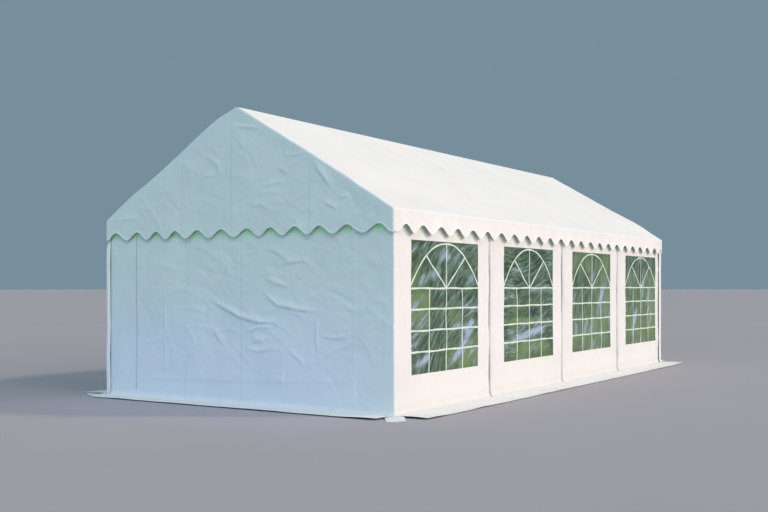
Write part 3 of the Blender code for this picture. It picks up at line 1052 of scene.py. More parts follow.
def around_corner(along, face, corner):
    """Plan of a sheet that bends round a post at corner: distance out and along, and the turn there."""
    beyond = np.maximum(0.0, along - corner)
    turn = np.minimum(beyond / CORNER_RADIUS, math.pi / 2)
    past = np.maximum(0.0, beyond - CORNER_ARC)
    place = np.where(beyond > 0, corner + CORNER_RADIUS * np.sin(turn), along)
    return face - CORNER_RADIUS * (1 - np.cos(turn)) - past, place, turn


def side_ends(bay, wraps):
    """Start and end of a side panel, measured along it and, where it wraps, round the end posts."""
    near = -HALF_LENGTH + BAY * bay
    last = WRAP_END if wraps else END_FACE - 0.003
    near_end = -last if bay == 0 else near + PANEL_GAP
    far_end = last if bay == BAY_COUNT - 1 else near + BAY + PANEL_LAP
    return near_end, far_end


def side_columns(bay, wraps):
    """Columns of a side panel, with one at each edge, hem and bend."""
    start, end = window_span(bay)
    near_end, far_end = side_ends(bay, wraps)
    stops = [near_end, near_end + 0.004, near_end + 0.012, near_end + 0.12, far_end]
    stops += [start - HEM_BAND, start, end, end + HEM_BAND]
    turns = []
    if bay < BAY_COUNT - 1:
        stops.append(far_end - PANEL_LAP + PANEL_GAP)
    if wraps:
        stops += [-POST_CORNER, POST_CORNER]
        turns = [POST_CORNER + CORNER_RADIUS * step / 3 for step in range(5)]
    stops = sorted(place for place in stops if near_end <= place <= far_end)
    turns = [hand * turn for turn in turns for hand in (-1, 1) if near_end < hand * turn < far_end]
    return np.unique(np.round(np.concatenate([marks(*stops, cell=0.026), turns]), 6))


def make_side_panel(word, side, bay):
    """One wall panel. The left side is the right side turned round, so bay counts along it."""
    start, end = window_span(bay)
    wraps = side < 0
    laps = bay < BAY_COUNT - 1
    near_end, far_end = side_ends(bay, wraps)
    far = -HALF_LENGTH + BAY * (bay + 1)
    lip = sizes().lip if bay > 0 else 0.0
    band = HEM_BAND
    columns = side_columns(bay, wraps)
    stops = (WINDOW_SILL - band, WINDOW_SILL, WINDOW_HEAD, WINDOW_HEAD + band)
    table, rows = wall_rows(WALL_TOP, SIDE_REACH, *stops)

    def keep(across, up):
        in_window = (across > start) & (across < end) & (up > WINDOW_SILL) & (up < WINDOW_HEAD)
        past_corner = (np.abs(across) > POST_CORNER) & (up < SKIRT_START)
        doubled = (across > far + PANEL_GAP) & (up < FOLD_RADIUS) & laps
        return ~in_window & ~past_corner & ~doubled

    def place(across, up, column, row):
        out0, height, normal_out, normal_up = table[row].T
        hand = np.sign(across)
        corner = POST_CORNER if wraps else HALF_LENGTH
        plan_out, plan_along, turn = around_corner(np.abs(across), WALL_FACE, corner)
        from_near = across - near_end
        skirt = smooth_step(out0 / 0.07)
        edge = smooth_step(from_near / 0.005) * np.exp(-((from_near / 0.085) ** 2))
        raised = side_relief(bay, across, height) * (out0 < 0.05)
        raised = raised + lip * edge * (1 - 0.95 * skirt)
        hemmed = (across > start - band * 0.9) & (across < end + band * 0.9)
        hemmed &= (height > WINDOW_SILL - band * 0.9) & (height < WINDOW_HEAD + band * 0.9)
        raised = raised + np.where(hemmed, BAND_RISE, 0.0)
        if wraps:
            post = np.exp(-((np.minimum(0.0, np.abs(across) - POST_CORNER) / 0.06) ** 2))
            bulge = POST_BULGE * post * np.cos(turn) * smooth_step((1.80 - height) / 0.10)
            raised = raised + bulge * (1 - smooth_step(out0 / 0.05))
            flare = smooth_step((np.abs(across) - 3.3) / 0.7) * smooth_step((out0 - 0.08) / 0.3)
            plan_out = plan_out + CORNER_FLARE * flare
        if laps:
            raised = raised - 0.003 * smooth_step((across - far + 0.06) / 0.05) * (1 - skirt)
        ends = -0.004 if wraps else 0.010
        lift = skirt_lift(70, across, out0, corner_lift(across, 3.97, ends, ends))
        waver = EDGE_WAVER * np.sin(height * 9 + bay * 2.0) * np.exp(-((from_near / 0.1) ** 2))
        reach = out0 + normal_out * raised
        out = plan_out + np.cos(turn) * reach
        along = hand * (plan_along + np.sin(turn) * reach) + waver * (bay > 0)
        return side * out, side * along, height + normal_up * raised + lift

    # Painted shade low on the panel, most in the fold at its foot
    def side_shade(across, up):
        return painted_foot_shade(up)

    # Painted green shade, weaker on the side walls
    def side_green_shade(across, up):
        return 0.45 * damp(across, up)

    number = panel_number(side, bay)
    panel = grid_sheet(
        f"side_cloth_{word}_{number}",
        columns,
        rows,
        place,
        (side, 0.0, 0.0),
        keep=keep,
        thickness=sizes().cloth,
        stored={"shade": side_shade, "damp": side_green_shade},
    )
    dress(panel, cloth_material(), "cloth", f"wall_{word}_{number}")
    wide = far_end - near_end
    high = float(rows[-1] - rows[0])
    wide * high - WINDOW_WIDTH * WINDOW_HEIGHT
    f"leg_{word}_{number + 1}"


class MARQUEE_OT_side_walls(bpy.types.Operator):
    """Wall panels of both sides, each with a window cut out and a skirt on the ground"""

    bl_idname = "marquee.side_walls"
    bl_label = "Side walls"

    def execute(self, context):
        each_bay(make_side_panel)
        return {"FINISHED"}


# Seams and creases of an end wall and its curtain, in the same form as the gable's
DOOR_SEAMS = (-0.755, 0.045)
LEFT_SWEEP = [
    (-0.415, 1.122), (-0.158, 1.018), (0.038, 0.937), (0.285, 0.889), (0.499, 0.882), (0.604, 0.833),
]
RIGHT_SWEEP = [
    (0.339, 1.21), (0.446, 1.128), (0.552, 1.067), (0.683, 1.048), (0.838, 1.02), (1.091, 1.003),
]
END_CREASES = [
    (LEFT_SWEEP, 0.030, 1.5),
    (RIGHT_SWEEP, 0.028, 1.3),
    ([(0.093, 0.76), (0.285, 0.826), (0.499, 0.831)], 0.022, 0.9),
    ([(0.121, 0.604), (0.285, 0.578), (0.472, 0.615)], 0.020, 0.9),
    ([(0.20, 0.69), (0.38, 0.70)], 0.050, 0.9),
    ([(0.578, 1.455), (0.683, 1.505), (0.889, 1.523), (1.015, 1.471)], 0.028, 0.9),
    ([(0.365, 1.354), (0.525, 1.292), (0.709, 1.251)], 0.030, 0.8),
    ([(1.116, 0.754), (1.289, 0.739), (1.459, 0.763)], 0.022, 0.8),
    ([(-0.357, 0.802), (-0.186, 0.615)], 0.035, 0.7),
    ([(0.683, 0.601), (0.812, 0.525), (0.914, 0.448)], 0.030, 0.7),
    ([(1.053, 0.98), (1.053, 0.60)], 0.012, 0.6),
    ([(-1.077, 1.339), (-1.077, 0.168)], 0.014, 0.4),
    ([(0.604, 0.435), (0.617, 0.11)], 0.012, 0.4),
    ([(-1.509, 0.215), (0.2, 0.27), (1.905, 0.316)], 0.045, 0.4),
    ([(1.895, 1.75), (1.895, 0.2)], 0.008, 0.5),
]


def end_relief(across, height, side):
    """Relief of an end wall, which its door curtain shares."""
    out = wall_swell(60 + side, across, height) + crease_relief(across, height, END_CREASES)
    bends = crumple(51 + side, across, height, ((-1.2, 0.25), (1.9, 1.75)), 90, END_CRUMPLE)
    return out + bends * smooth_step((WALL_TOP - height) / 0.3) - seam_groove(across, DOOR_SEAMS)


def end_place(side, table, across, row, lip=0.0):
    """Bend an end wall's sheet: round the right-hand post, down to its fold and out over its skirt."""
    out0, height, normal_out, normal_up = table[row].T
    plan_y, plan_x, turn = around_corner(across, END_FACE, STRIP_CORNER)
    upright = smooth_step(1 - out0 / 0.05)
    raised = end_relief(across, height, side) * upright * np.cos(turn) + lip
    reach = out0 + normal_out * raised
    lift = skirt_lift(80 + side, across, out0, corner_lift(across, 1.97, -0.004, 0.010))
    x = plan_x + np.sin(turn) * reach
    y = plan_y + np.cos(turn) * reach
    return x, side * y, height + normal_up * raised + lift


def make_end_wall(word, side):
    bend_end = STRIP_CORNER + CORNER_ARC
    wrap_end = bend_end + STRIP_WIDTH - CORNER_RADIUS
    flat_part = (-LEFT_EDGE, -LEFT_EDGE + 0.004, -DOOR_EDGE, DOOR_EDGE, STRIP_CORNER)
    columns = np.concatenate([
        marks(*flat_part, cell=0.022),
        [STRIP_CORNER + CORNER_ARC * step / 5 for step in range(6)],
        marks(bend_end, wrap_end - 0.004, wrap_end, cell=0.025),
    ])
    columns = np.unique(np.round(columns, 6))
    table, rows = wall_rows(WALL_TOP, END_REACH, DOOR_HEAD)

    def keep(across, up):
        doorway = (np.abs(across) < DOOR_EDGE) & (up < DOOR_HEAD)
        return ~doorway & ~((across > STRIP_CORNER) & (up < SKIRT_START))

    def place(across, up, column, row):
        lip = -0.003 * np.exp(-(((across + LEFT_EDGE) / 0.03) ** 2))
        return end_place(side, table, across, row, lip)

    # Painted shade low on the wall, most in the fold on the wrapped strip
    def wall_shade(across, up):
        return np.where(across > STRIP_CORNER, painted_foot_shade(up), low_shade(up))

    # Painted green shade, weaker on the strip that wraps the post
    def wall_green_shade(across, up):
        return damp(across, up) * np.where(across > STRIP_CORNER, 0.3, 1.0)

    wall = grid_sheet(
        f"end_cloth_{word}",
        columns,
        rows,
        place,
        (0.0, side, 0.0),
        keep=keep,
        thickness=sizes().cloth,
        stored={"shade": wall_shade, "damp": wall_green_shade},
    )
    dress(wall, cloth_material(), "cloth", f"end_wall_{word}")
    wide = wrap_end + LEFT_EDGE
    high = float(rows[-1] - rows[0])
    area = wide * high - 2 * DOOR_EDGE * float(DOOR_HEAD - rows[0])
    max(area, 0.31 * wide * high)


def make_curtain(word, side):
    """The curtain in a doorway, which shares the relief of the wall round it."""
    columns = marks(-DOOR_EDGE, *seam_stops(DOOR_SEAMS), DOOR_EDGE, cell=0.0135)
    table, rows = wall_rows(DOOR_HEAD, END_REACH, cell=0.0135)

    def place(across, up, column, row):
        return end_place(side, table, across, row)

    # Darker welded seams, and painted shade low on the curtain
    def curtain_shade(across, up):
        return 0.6 * seam_lines(across, DOOR_SEAMS) + low_shade(up)

    curtain = grid_sheet(
        f"door_cloth_{word}",
        columns,
        rows,
        place,
        (0.0, side, 0.0),
        thickness=sizes().cloth,
        stored={"shade": curtain_shade, "damp": damp},
    )
    dress(curtain, cloth_material(), "cloth", f"door_curtain_{word}")


class MARQUEE_OT_end_walls(bpy.types.Operator):
    """End walls that wrap the right-hand posts, and the door curtain zipped into each"""

    bl_idname = "marquee.end_walls"
    bl_label = "End walls and door curtains"

    def execute(self, context):
        for word, side in ENDS:
            make_end_wall(word, side)
            make_curtain(word, side)
        return {"FINISHED"}


# Windows

# How far the painted streaks of each window's film lean up from level
STREAK_TURNS = (math.radians(42), math.radians(12), math.radians(74), math.radians(66))

# Painted glints on each window's film: points as shares of its width and height, width and strength
FILM_GLINTS = (
    [
        ([(0.56, 0.04), (0.70, 0.13), (0.86, 0.26), (0.98, 0.36)], 0.040, 1.1),
        ([(0.02, 0.04), (0.16, 0.09), (0.30, 0.13)], 0.035, 0.9),
        ([(0.78, 0.27), (0.88, 0.34), (0.95, 0.40)], 0.045, 0.8),
        ([(0.38, 0.87), (0.50, 0.89), (0.60, 0.88)], 0.045, 0.7),
        ([(0.06, 0.66), (0.22, 0.71), (0.38, 0.78)], 0.050, 0.8),
        ([(0.58, 0.30), (0.68, 0.33), (0.78, 0.35)], 0.030, 0.7),
    ],
    [
        ([(0.02, 0.16), (0.40, 0.21), (0.70, 0.25), (0.99, 0.31)], 0.045, 1.0),
        ([(0.02, 0.23), (0.25, 0.26)], 0.03, 0.6),
        ([(0.45, 0.60), (0.75, 0.63), (0.97, 0.68)], 0.03, 0.5),
        ([(0.10, 0.78), (0.45, 0.80)], 0.03, 0.5),
    ],
    [
        ([(0.62, 0.30), (0.72, 0.50), (0.90, 0.70)], 0.05, 0.7),
        ([(0.20, 0.08), (0.32, 0.22), (0.42, 0.38)], 0.05, 0.7),
        ([(0.05, 0.10), (0.12, 0.30)], 0.04, 0.6),
        ([(0.70, 0.10), (0.80, 0.25)], 0.04, 0.5),
    ],
    [
        ([(0.52, 0.30), (0.56, 0.55), (0.62, 0.80)], 0.05, 0.8),
        ([(0.18, 0.08), (0.30, 0.25), (0.40, 0.45)], 0.05, 0.7),
        ([(0.80, 0.15), (0.88, 0.40)], 0.04, 0.5),
    ],
)

# Painted green (above 0) or dark (below 0) reflections on each window's film: middle and reach as shares,
# and strength
FILM_PAINTED_TINTS = (
    [
        ((0.12, 0.50), (0.17, 0.19), 1.0),
        ((0.62, 0.42), (0.12, 0.10), 0.6),
        ((0.20, 0.72), (0.17, 0.08), -1.6),
        ((0.70, 0.10), (0.30, 0.10), 0.8),
        ((0.42, 0.13), (0.07, 0.04), -1.6),
    ],
    [
        ((0.40, 0.34), (0.45, 0.045), 1.0),
        ((0.55, 0.11), (0.40, 0.06), 0.8),
        ((0.50, 0.44), (0.50, 0.05), -0.8),
        ((0.68, 0.90), (0.28, 0.08), -0.8),
        ((0.75, 0.02), (0.30, 0.03), -1.4),
    ],
    [
        ((0.85, 0.45), (0.20, 0.40), 0.7),
        ((0.45, 0.15), (0.30, 0.25), 0.6),
        ((0.30, 0.90), (0.30, 0.15), 0.4),
        ((0.90, 0.92), (0.15, 0.10), 0.6),
        ((0.50, 0.50), (0.90, 0.90), 0.30),
    ],
    [
        ((0.85, 0.55), (0.20, 0.30), 0.8),
        ((0.55, 0.15), (0.30, 0.20), 0.6),
        ((0.45, 0.90), (0.30, 0.08), -0.8),
        ((0.15, 0.80), (0.15, 0.20), 0.6),
        ((0.50, 0.50), (0.90, 0.90), 0.30),
    ],
)


def streak_axes(bay, along, height):
    """A place in a window, measured along its streaks and across them."""
    run, rise = math.cos(STREAK_TURNS[bay]), math.sin(STREAK_TURNS[bay])
    return along * run + height * rise, height * run - along * rise


def film_wave(bay, along, height):
    """Waves of the film between its welded edges."""
    start, end = window_span(bay)
    from_ends = np.minimum(along - start, end - along)
    from_edges = np.minimum(from_ends, np.minimum(height - WINDOW_SILL, WINDOW_HEAD - height))
    hold = smooth_step((from_edges + 0.01) / 0.12)
    along_streak, across_streak = streak_axes(bay, along, height)
    long_waves = swell_field(90 + bay, across_streak, along_streak * 0.25, 0.16, 0.5)
    return side_relief(bay, along, height) + sizes().film_wave * hold * long_waves


def film_painted_tint(bay, across, up):
    """How much painted green (above 0) or dark (below 0) reflection the film shows at each place."""
    u = (across - window_span(bay)[0]) / WINDOW_WIDTH
    v = (up - WINDOW_SILL) / WINDOW_HEIGHT
    total = np.zeros_like(across)
    for (middle_u, middle_v), (reach_u, reach_v), strength in FILM_PAINTED_TINTS[bay]:
        total += strength * np.exp(-(((u - middle_u) / reach_u) ** 2) - ((v - middle_v) / reach_v) ** 2)
    return total


def film_glint(bay, across, up):
    """How strong the painted glint on the film is at each place."""
    start = window_span(bay)[0]
    total = np.zeros_like(across)
    for points, width, strength in FILM_GLINTS[bay]:
        line = [(start + u * WINDOW_WIDTH, WINDOW_SILL + v * WINDOW_HEIGHT) for u, v in points]
        total += crease_line(across, up, line, width, strength, steep=0.9)
    return total


def make_film(word, side, bay):
    start, end = window_span(bay)
    columns = marks(start - FILM_LAP, end + FILM_LAP, cell=0.016)
    rows = marks(WINDOW_SILL - FILM_LAP, WINDOW_HEAD + FILM_LAP, cell=0.016)

    def place(across, up, column, row):
        out = WALL_FACE - FILM_BACK + film_wave(bay, across, up)
        return side * out, side * across, up

    def streak(across, up):
        along_streak, across_streak = streak_axes(bay, across, up)
        bend = 0.05 * np.sin(across * 5 + bay) + 0.04 * np.sin(up * 7 + bay * 2)
        window_place = np.full_like(across, 3.0 * bay + (side > 0) * 17)
        return along_streak * 1.7, (across_streak + bend) * 8.0, window_place

    def glint(across, up):
        return film_glint(bay, across, up)

    def tint(across, up):
        return film_painted_tint(bay, across, up)

    number = panel_number(side, bay)
    film = grid_sheet(
        f"film_{word}_{number}",
        columns,
        rows,
        place,
        (side, 0.0, 0.0),
        stored={"streak": streak, "glint": glint, "tint": tint},
    )
    dress(film, film_material(), "window_film", f"window_{word}_{number}")


class MARQUEE_OT_windows(bpy.types.Operator):
    """Clear film behind each window opening"""

    bl_idname = "marquee.windows"
    bl_label = "Window film"

    def execute(self, context):
        each_bay(make_film)
        return {"FINISHED"}


# Window bars
SPRING_LINE = 1.240
BAR_ROWS = (0.598, 0.812, 1.029, SPRING_LINE)
ARCH_SPRING = 1.272
ARCH_CROWN = 1.706
ARCH_POWER = 2.2
SPOKE_REACH = 0.40
SPOKE_TOP = 1.572


def bar_paths(bay):
    """Middle lines of a window's bars, with the layer that each lies in."""
    start, end = window_span(bay)
    middle = (start + end) / 2
    half = WINDOW_WIDTH / 2
    paths = [([(start - 0.01, height), (end + 0.01, height)], 0) for height in BAR_ROWS]
    for share in (-0.5, 0.0, 0.5):
        top = ARCH_CROWN if share == 0.0 else SPRING_LINE
        paths.append(([(middle + share * half, WINDOW_SILL - 0.01), (middle + share * half, top)], 1))
    for hand in (-1, 1):
        paths.append(([(middle, SPRING_LINE), (middle + hand * SPOKE_REACH, SPOKE_TOP)], 2))
    reach = [-half * math.cos(math.pi * step / 48) for step in range(49)]
    rise = ARCH_CROWN - ARCH_SPRING
    arch = [(middle + part, ARCH_CROWN - rise * abs(part / half) ** ARCH_POWER) for part in reach]
    paths.append((arch, 3))
    return paths


def walk(points, step):
    """Points along a line, one every step, with the direction at each."""
    points = np.array(points)
    lengths = np.hypot(*np.diff(points, axis=0).T)
    total = np.concatenate([[0.0], np.cumsum(lengths)])
    places = np.linspace(0.0, total[-1], max(2, int(total[-1] / step)))
    spots = np.stack([np.interp(places, total, points[:, axis]) for axis in (0, 1)], axis=1)
    runs = np.gradient(spots, axis=0)
    return places, spots, runs / np.linalg.norm(runs, axis=1)[:, None]


def make_bars(word, side, bay):
    strips = []
    for number, (points, layer) in enumerate(bar_paths(bay)):
        places, spots, runs = walk(points, 0.02)

        def place(across, up, column, row):
            shrink = 1.0 + 0.16 * np.sin(across * 23 + number * 2.1 + bay)
            waver = 0.0022 * np.sin(across * 11 + number * 1.7 + bay * 2.3)
            offset = up * shrink + waver
            along = spots[column, 0] - runs[column, 1] * offset
            height = spots[column, 1] + runs[column, 0] * offset
            out = WALL_FACE - BAR_BACK + BAR_LAYER * layer + film_wave(bay, along, height)
            return side * out, side * along, height

        name = f"bar_{word}_{bay}_{number}"
        half = sizes().bar / 2 * (0.82 if layer == 1 else 1.0)
        rows = np.array([-half, 0.0, half])
        strips.append(grid_sheet(name, places, rows, place, (side, 0.0, 0.0), thickness=THIN))
    bars = join_parts(strips, f"window_bars_{word}_{panel_number(side, bay)}")
    dress(bars, bar_material(), "window_bars")


class MARQUEE_OT_window_bars(bpy.types.Operator):
    """White bars on each window: four rows, three uprights, an arch and two spokes"""

    bl_idname = "marquee.window_bars"
    bl_label = "Window bars"

    def execute(self, context):
        each_bay(make_bars)
        return {"FINISHED"}


# Skirt corners


def corner_flap(name, corners, heights, fall, lift):
    """A flap on the ground between four corners, with a height at each that falls off by a power."""
    ring = list(zip(corners, corners[1:] + corners[:1]))
    columns = marks(0.0, 1.0, cell=0.05)
    rows = marks(0.0, 0.04, 0.96, 1.0, cell=0.08)
    corner_places = np.array(corners).T

    def place(across, up, column, row):
        weight = [(1 - across) * (1 - up), across * (1 - up), across * up, (1 - across) * up]
        x, y = (sum(share * value for share, value in zip(weight, values)) for values in corner_places)
        z = sum(share * value for share, value in zip(weight, heights))
        z = 0.0045 + z * (z / max(heights)) ** fall
        z = z + lift * np.sin(across * 5.0) * np.sin(up * 3.0 + 0.4) ** 2
        return x, y, z

    flap = grid_sheet(name, columns, rows, place, (0.0, 0.0, 1.0), thickness=sizes().cloth)
    longest = max(math.dist(first, second) for first, second in ring)
    area = abs(sum(a[0] * b[1] - b[0] * a[1] for a, b in ring)) / 2
    dress(flap, cloth_material(), "cloth")
    1.2 * area / longest


# Corners of the flaps at the front, in plan
RIGHT_FLAP = ((1.915, -4.03), (2.12, -4.30), (2.26, -4.17), (2.07, -3.925))
LEFT_FLAP = ((-1.985, -3.996), (-2.31, -4.006), (-2.25, -4.07), (-1.88, -4.236))


class MARQUEE_OT_corner_flaps(bpy.types.Operator):
    """Flaps that close the skirts at the four corners"""

    bl_idname = "marquee.corner_flaps"
    bl_label = "Corner flaps"

    def execute(self, context):
        for word, side in ENDS:
            right = [(x, -side * y) for x, y in RIGHT_FLAP]
            corner_flap(f"corner_flap_{word}_right", right, (0.011, 0.0, 0.0, 0.015), 1.2, 0.003)
            left = [(x, -side * y) for x, y in LEFT_FLAP]
            corner_flap(f"corner_flap_{word}_left", left, (0.050, 0.0, 0.0, 0.0), 5.0, 0.002)
        return {"FINISHED"}


# Zips

ZIP_FOOT = 0.10
ZIP_LENGTH = 1.745
ZIP_WIDTH = 0.0055
FLAP_WIDTH = 0.05
SLIDER_HEIGHT = 0.15


def make_zip(name, x, side, width, raised):
    """A narrow strip down an end wall, over the edge of its door curtain."""
    half = width / 2
    columns = np.array([-half, -half * 0.5, -0.0022, 0.0, 0.0022, half * 0.5, half])
    rows = marks(ZIP_FOOT, ZIP_FOOT + ZIP_LENGTH, cell=0.02)

    def place(across, up, column, row):
        ridge = np.where(np.abs(across) < 0.003, 0.0018, 0.0)
        edge = np.where(np.abs(across) > half * 0.9, 0.0, 1.0)
        out = end_relief(np.full_like(across, x), up, side) + raised * edge + ridge + 0.0004
        waver = 0.002 * np.sin(up * 6 + x)
        return x + across + waver, side * (END_FACE + out), up

    return grid_sheet(name, columns, rows, place, (0.0, side, 0.0), thickness=THIN)


class MARQUEE_OT_zips(bpy.types.Operator):
    """Zips down both edges of each door curtain, one bare and one under a flap"""

    bl_idname = "marquee.zips"
    bl_label = "Zips"

    def execute(self, context):
        for word, side in ENDS:
            tape = make_zip(f"zip_{word}_left", -DOOR_EDGE, side, ZIP_WIDTH, 0.0002)
            dress(tape, zip_material(), "zip")
            flap = make_zip(f"zip_flap_{word}_right", DOOR_EDGE, side, FLAP_WIDTH, 0.0)
            dress(flap, cloth_material(), "cloth")
        return {"FINISHED"}


def bevelled_block(center, size, edge):
    """A block with rounded edges, modelled where it stands."""
    bpy.ops.object.select_all(action="DESELECT")
    bpy.ops.mesh.primitive_cube_add(size=1)
    block = bpy.context.object
    bpy.ops.object.mode_set(mode="EDIT")
    bpy.ops.mesh.select_all(action="SELECT")
    bpy.ops.transform.resize(value=size)
    bpy.ops.transform.translate(value=center)
    bpy.ops.mesh.bevel(offset=edge, segments=3, affect="EDGES")
    bpy.ops.object.mode_set(mode="OBJECT")
    return block


def make_slider(word, side):
    """Slider at the foot of the bare zip: a body, a bridge and a pull tab."""
    long = sizes().slider
    relief_here = end_relief(np.array([-DOOR_EDGE]), np.array([SLIDER_HEIGHT]), side)[0]
    face = END_FACE + float(relief_here) + 0.002
    blocks = (
        (0.004, SLIDER_HEIGHT, (0.014, 0.008, long), 0.0018),
        (0.0095, SLIDER_HEIGHT, (0.004, 0.004, long * 0.7), 0.0012),
        (0.0100, SLIDER_HEIGHT - 0.028, (0.009, 0.0018, 0.040), 0.0008),
    )
    parts = [
        bevelled_block((-DOOR_EDGE, side * (face + out), height), size, edge)
        for out, height, size, edge in blocks
    ]
    slider = join_parts(parts, f"zip_slider_{word}")
    dress(slider, zip_material(), "zip")


class MARQUEE_OT_zip_sliders(bpy.types.Operator):
    """A slider with its pull tab at the foot of each bare zip"""

    bl_idname = "marquee.zip_sliders"
    bl_label = "Zip sliders"

    def execute(self, context):
        for word, side in ENDS:
            make_slider(word, side)
        return {"FINISHED"}


# Ties

TIE_HEIGHTS = (0.55, 1.45)
TIE_RADIUS = 0.0225
BALL_RADIUS = 0.0105
BALL_STAND = 0.034


def leg_middle(word, number):
    """Place of a leg in plan, from the solid itself."""
    low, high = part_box(f"leg_{word}_{number}")
    return (low[0] + high[0]) / 2, (low[1] + high[1]) / 2


def make_tie(name, hand, leg, height):
    """A loop of elastic round a leg, pulled tight through a ball on the room's side."""
    x, y = leg
    cord = sizes().tie_cord / 2
    bpy.ops.object.select_all(action="DESELECT")
    bpy.ops.mesh.primitive_torus_add(
        major_radius=TIE_RADIUS, minor_radius=cord, major_segments=28, minor_segments=8
    )
    loop = bpy.context.object
    bpy.ops.object.mode_set(mode="EDIT")
    bpy.ops.mesh.select_all(action="SELECT")
    bpy.ops.transform.rotate(value=math.radians(9), orient_axis="X", center_override=(0.0, 0.0, 0.0))
    bpy.ops.transform.translate(value=(x, y, height))
    bpy.ops.object.mode_set(mode="OBJECT")
    bpy.ops.object.select_all(action="DESELECT")
    bpy.ops.mesh.primitive_uv_sphere_add(segments=16, ring_count=10, radius=BALL_RADIUS)
    ball = bpy.context.object
    bpy.ops.object.mode_set(mode="EDIT")
    bpy.ops.mesh.select_all(action="SELECT")
    bpy.ops.transform.resize(value=(0.92, 1.0, 1.0))
    bpy.ops.transform.translate(value=(x - hand * BALL_STAND, y, height))
    bpy.ops.object.mode_set(mode="OBJECT")
    tie = join_parts([loop, ball], name)
    dress(tie, cord_material(), "cord")


class MARQUEE_OT_ties(bpy.types.Operator):
    """Elastic ties that hold the side walls to their legs"""

    bl_idname = "marquee.ties"
    bl_label = "Elastic ties"

    def execute(self, context):
        for word, hand in SIDES:
            legs = [leg_middle(word, number) for number in range(1, BAY_COUNT + 2)]
            spots = [(leg, height) for leg in legs for height in TIE_HEIGHTS]
            for number, (leg, height) in enumerate(spots, start=1):
                make_tie(f"tie_{word}_{number}", hand, leg, height)
        return {"FINISHED"}


# Frame and stage


class MARQUEE_OT_steel(bpy.types.Operator):
    """Galvanised finish on every tube and connector"""

    bl_idname = "marquee.steel"
    bl_label = "Steel frame"

    def execute(self, context):
        steel = steel_material()
        parts = ("leg_", "rafter_", "purlin_", "ridge_", "eaves_rail_", "gable_bar_")
        for name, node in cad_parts.items():
            if name.startswith(parts):
                for slot in node.material_slots:
                    slot.material = steel
        return {"FINISHED"}


def add_sun(name, direction, strength, color, spread):
    """A sun that shines from a direction, with its spread in degrees."""
    light = bpy.data.lights.new(name, "SUN")
    light.energy = strength
    light.color = color
    light.angle = math.radians(spread)
    lamp = bpy.data.objects.new(name, light)
    bpy.context.scene.collection.objects.link(lamp)
    lamp.rotation_euler = Vector(direction).to_track_quat("Z", "Y").to_euler()


def add_low_light():
    """A long low lamp in front of the tent, which tints the foot of its front wall."""
    light = bpy.data.lights.new("low_light", "AREA")
    light.shape = "RECTANGLE"
    light.size, light.size_y = 4.4, 0.3
    light.spread = math.radians(70)
    light.energy = 2.3
    light.color = LOW_LIGHT_COLOR
    lamp = bpy.data.objects.new("low_light", light)
    lamp.location = (-0.3, -5.9, 0.45)
    lamp.rotation_euler = (math.radians(84), 0.0, 0.0)
    lamp.visible_camera = False
    bpy.context.scene.collection.objects.link(lamp)


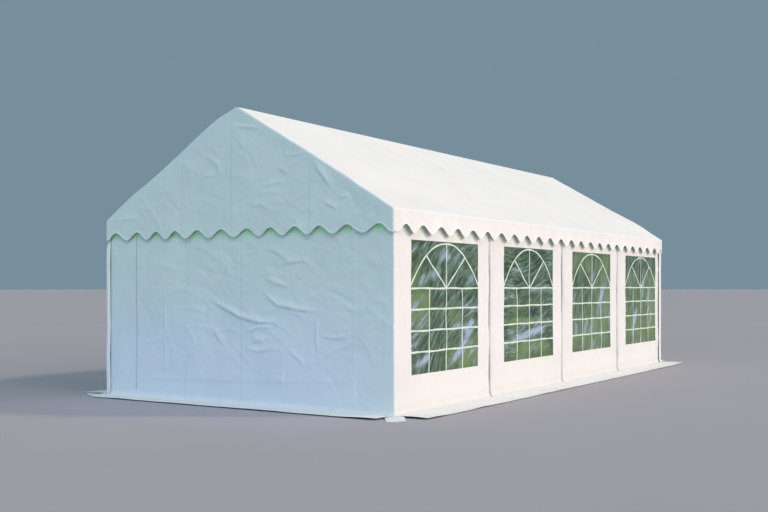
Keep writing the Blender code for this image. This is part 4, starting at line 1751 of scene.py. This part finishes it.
class MARQUEE_OT_stage(bpy.types.Operator):
    """Floor, lights and the camera at the photograph's angle"""

    bl_idname = "marquee.stage"
    bl_label = "Stage"

    def execute(self, context):
        tones = colors()
        bpy.ops.object.select_all(action="DESELECT")
        bpy.ops.mesh.primitive_circle_add(vertices=96, radius=FLOOR_RADIUS, fill_type="TRIFAN")
        floor = bpy.context.object
        floor.name = "studio_floor"
        floor.data.materials.append(floor_material())
        add_sun("main_light", (0.87, 0.48, 0.62), 1.25, tones.sun, 6.0)
        add_sun("side_light", (0.95, -0.02, 0.35), 1.54, tones.sun, 40.0)
        add_sun("top_light", (0.35, -0.48, 0.80), 0.92, TOP_LIGHT_COLOR, 24.0)
        add_sun("front_light", (-0.04, -0.99, 0.10), 0.71, FRONT_LIGHT_COLOR, 48.0)
        add_low_light()
        world = bpy.data.worlds.new("studio")
        world.use_nodes = True
        background = world.node_tree.nodes["Background"]
        background.inputs["Color"].default_value = opaque(tones.sky)
        background.inputs["Strength"].default_value = SKY_STRENGTH
        context.scene.world = world
        camera = bpy.data.cameras.new("photo_camera")
        camera.sensor_width = 36.0
        camera.lens = CAMERA_LENS
        camera.shift_x, camera.shift_y = CAMERA_SHIFT
        camera.clip_end = 1000.0
        holder = bpy.data.objects.new("photo_camera", camera)
        holder.location = CAMERA_PLACE
        holder.rotation_euler = (math.pi / 2, 0.0, CAMERA_TURN)
        context.scene.collection.objects.link(holder)
        context.scene.camera = holder
        context.scene.view_settings.view_transform = "Standard"
        return {"FINISHED"}


STEPS = (
    MARQUEE_OT_roof,
    MARQUEE_OT_gables,
    MARQUEE_OT_side_walls,
    MARQUEE_OT_end_walls,
    MARQUEE_OT_windows,
    MARQUEE_OT_window_bars,
    MARQUEE_OT_corner_flaps,
    MARQUEE_OT_zips,
    MARQUEE_OT_zip_sliders,
    MARQUEE_OT_ties,
    MARQUEE_OT_steel,
    MARQUEE_OT_stage,
)


class MARQUEE_PT_steps(bpy.types.Panel):
    """Steps that dress the tent, in order"""

    bl_idname = "MARQUEE_PT_steps"
    bl_label = "Marquee tent"
    bl_space_type = "VIEW_3D"
    bl_region_type = "UI"
    bl_category = "Marquee"

    def draw(self, context):
        for step in STEPS:
            self.layout.operator(step.bl_idname)


CLASSES = (MarqueeSizes, MarqueeColors, *STEPS, MARQUEE_PT_steps)


def register():
    for item in CLASSES:
        bpy.utils.register_class(item)
    bpy.types.Scene.marquee_sizes = bpy.props.PointerProperty(type=MarqueeSizes)
    bpy.types.Scene.marquee_colors = bpy.props.PointerProperty(type=MarqueeColors)


def unregister():
    del bpy.types.Scene.marquee_sizes
    del bpy.types.Scene.marquee_colors
    for item in reversed(CLASSES):
        bpy.utils.unregister_class(item)


def main():
    register()
    bpy.ops.marquee.roof()
    bpy.ops.marquee.gables()
    bpy.ops.marquee.side_walls()
    bpy.ops.marquee.end_walls()
    bpy.ops.marquee.windows()
    bpy.ops.marquee.window_bars()
    bpy.ops.marquee.corner_flaps()
    bpy.ops.marquee.zips()
    bpy.ops.marquee.zip_sliders()
    bpy.ops.marquee.ties()
    bpy.ops.marquee.steel()
    bpy.ops.marquee.stage()


if __name__ == "__main__":
    main()
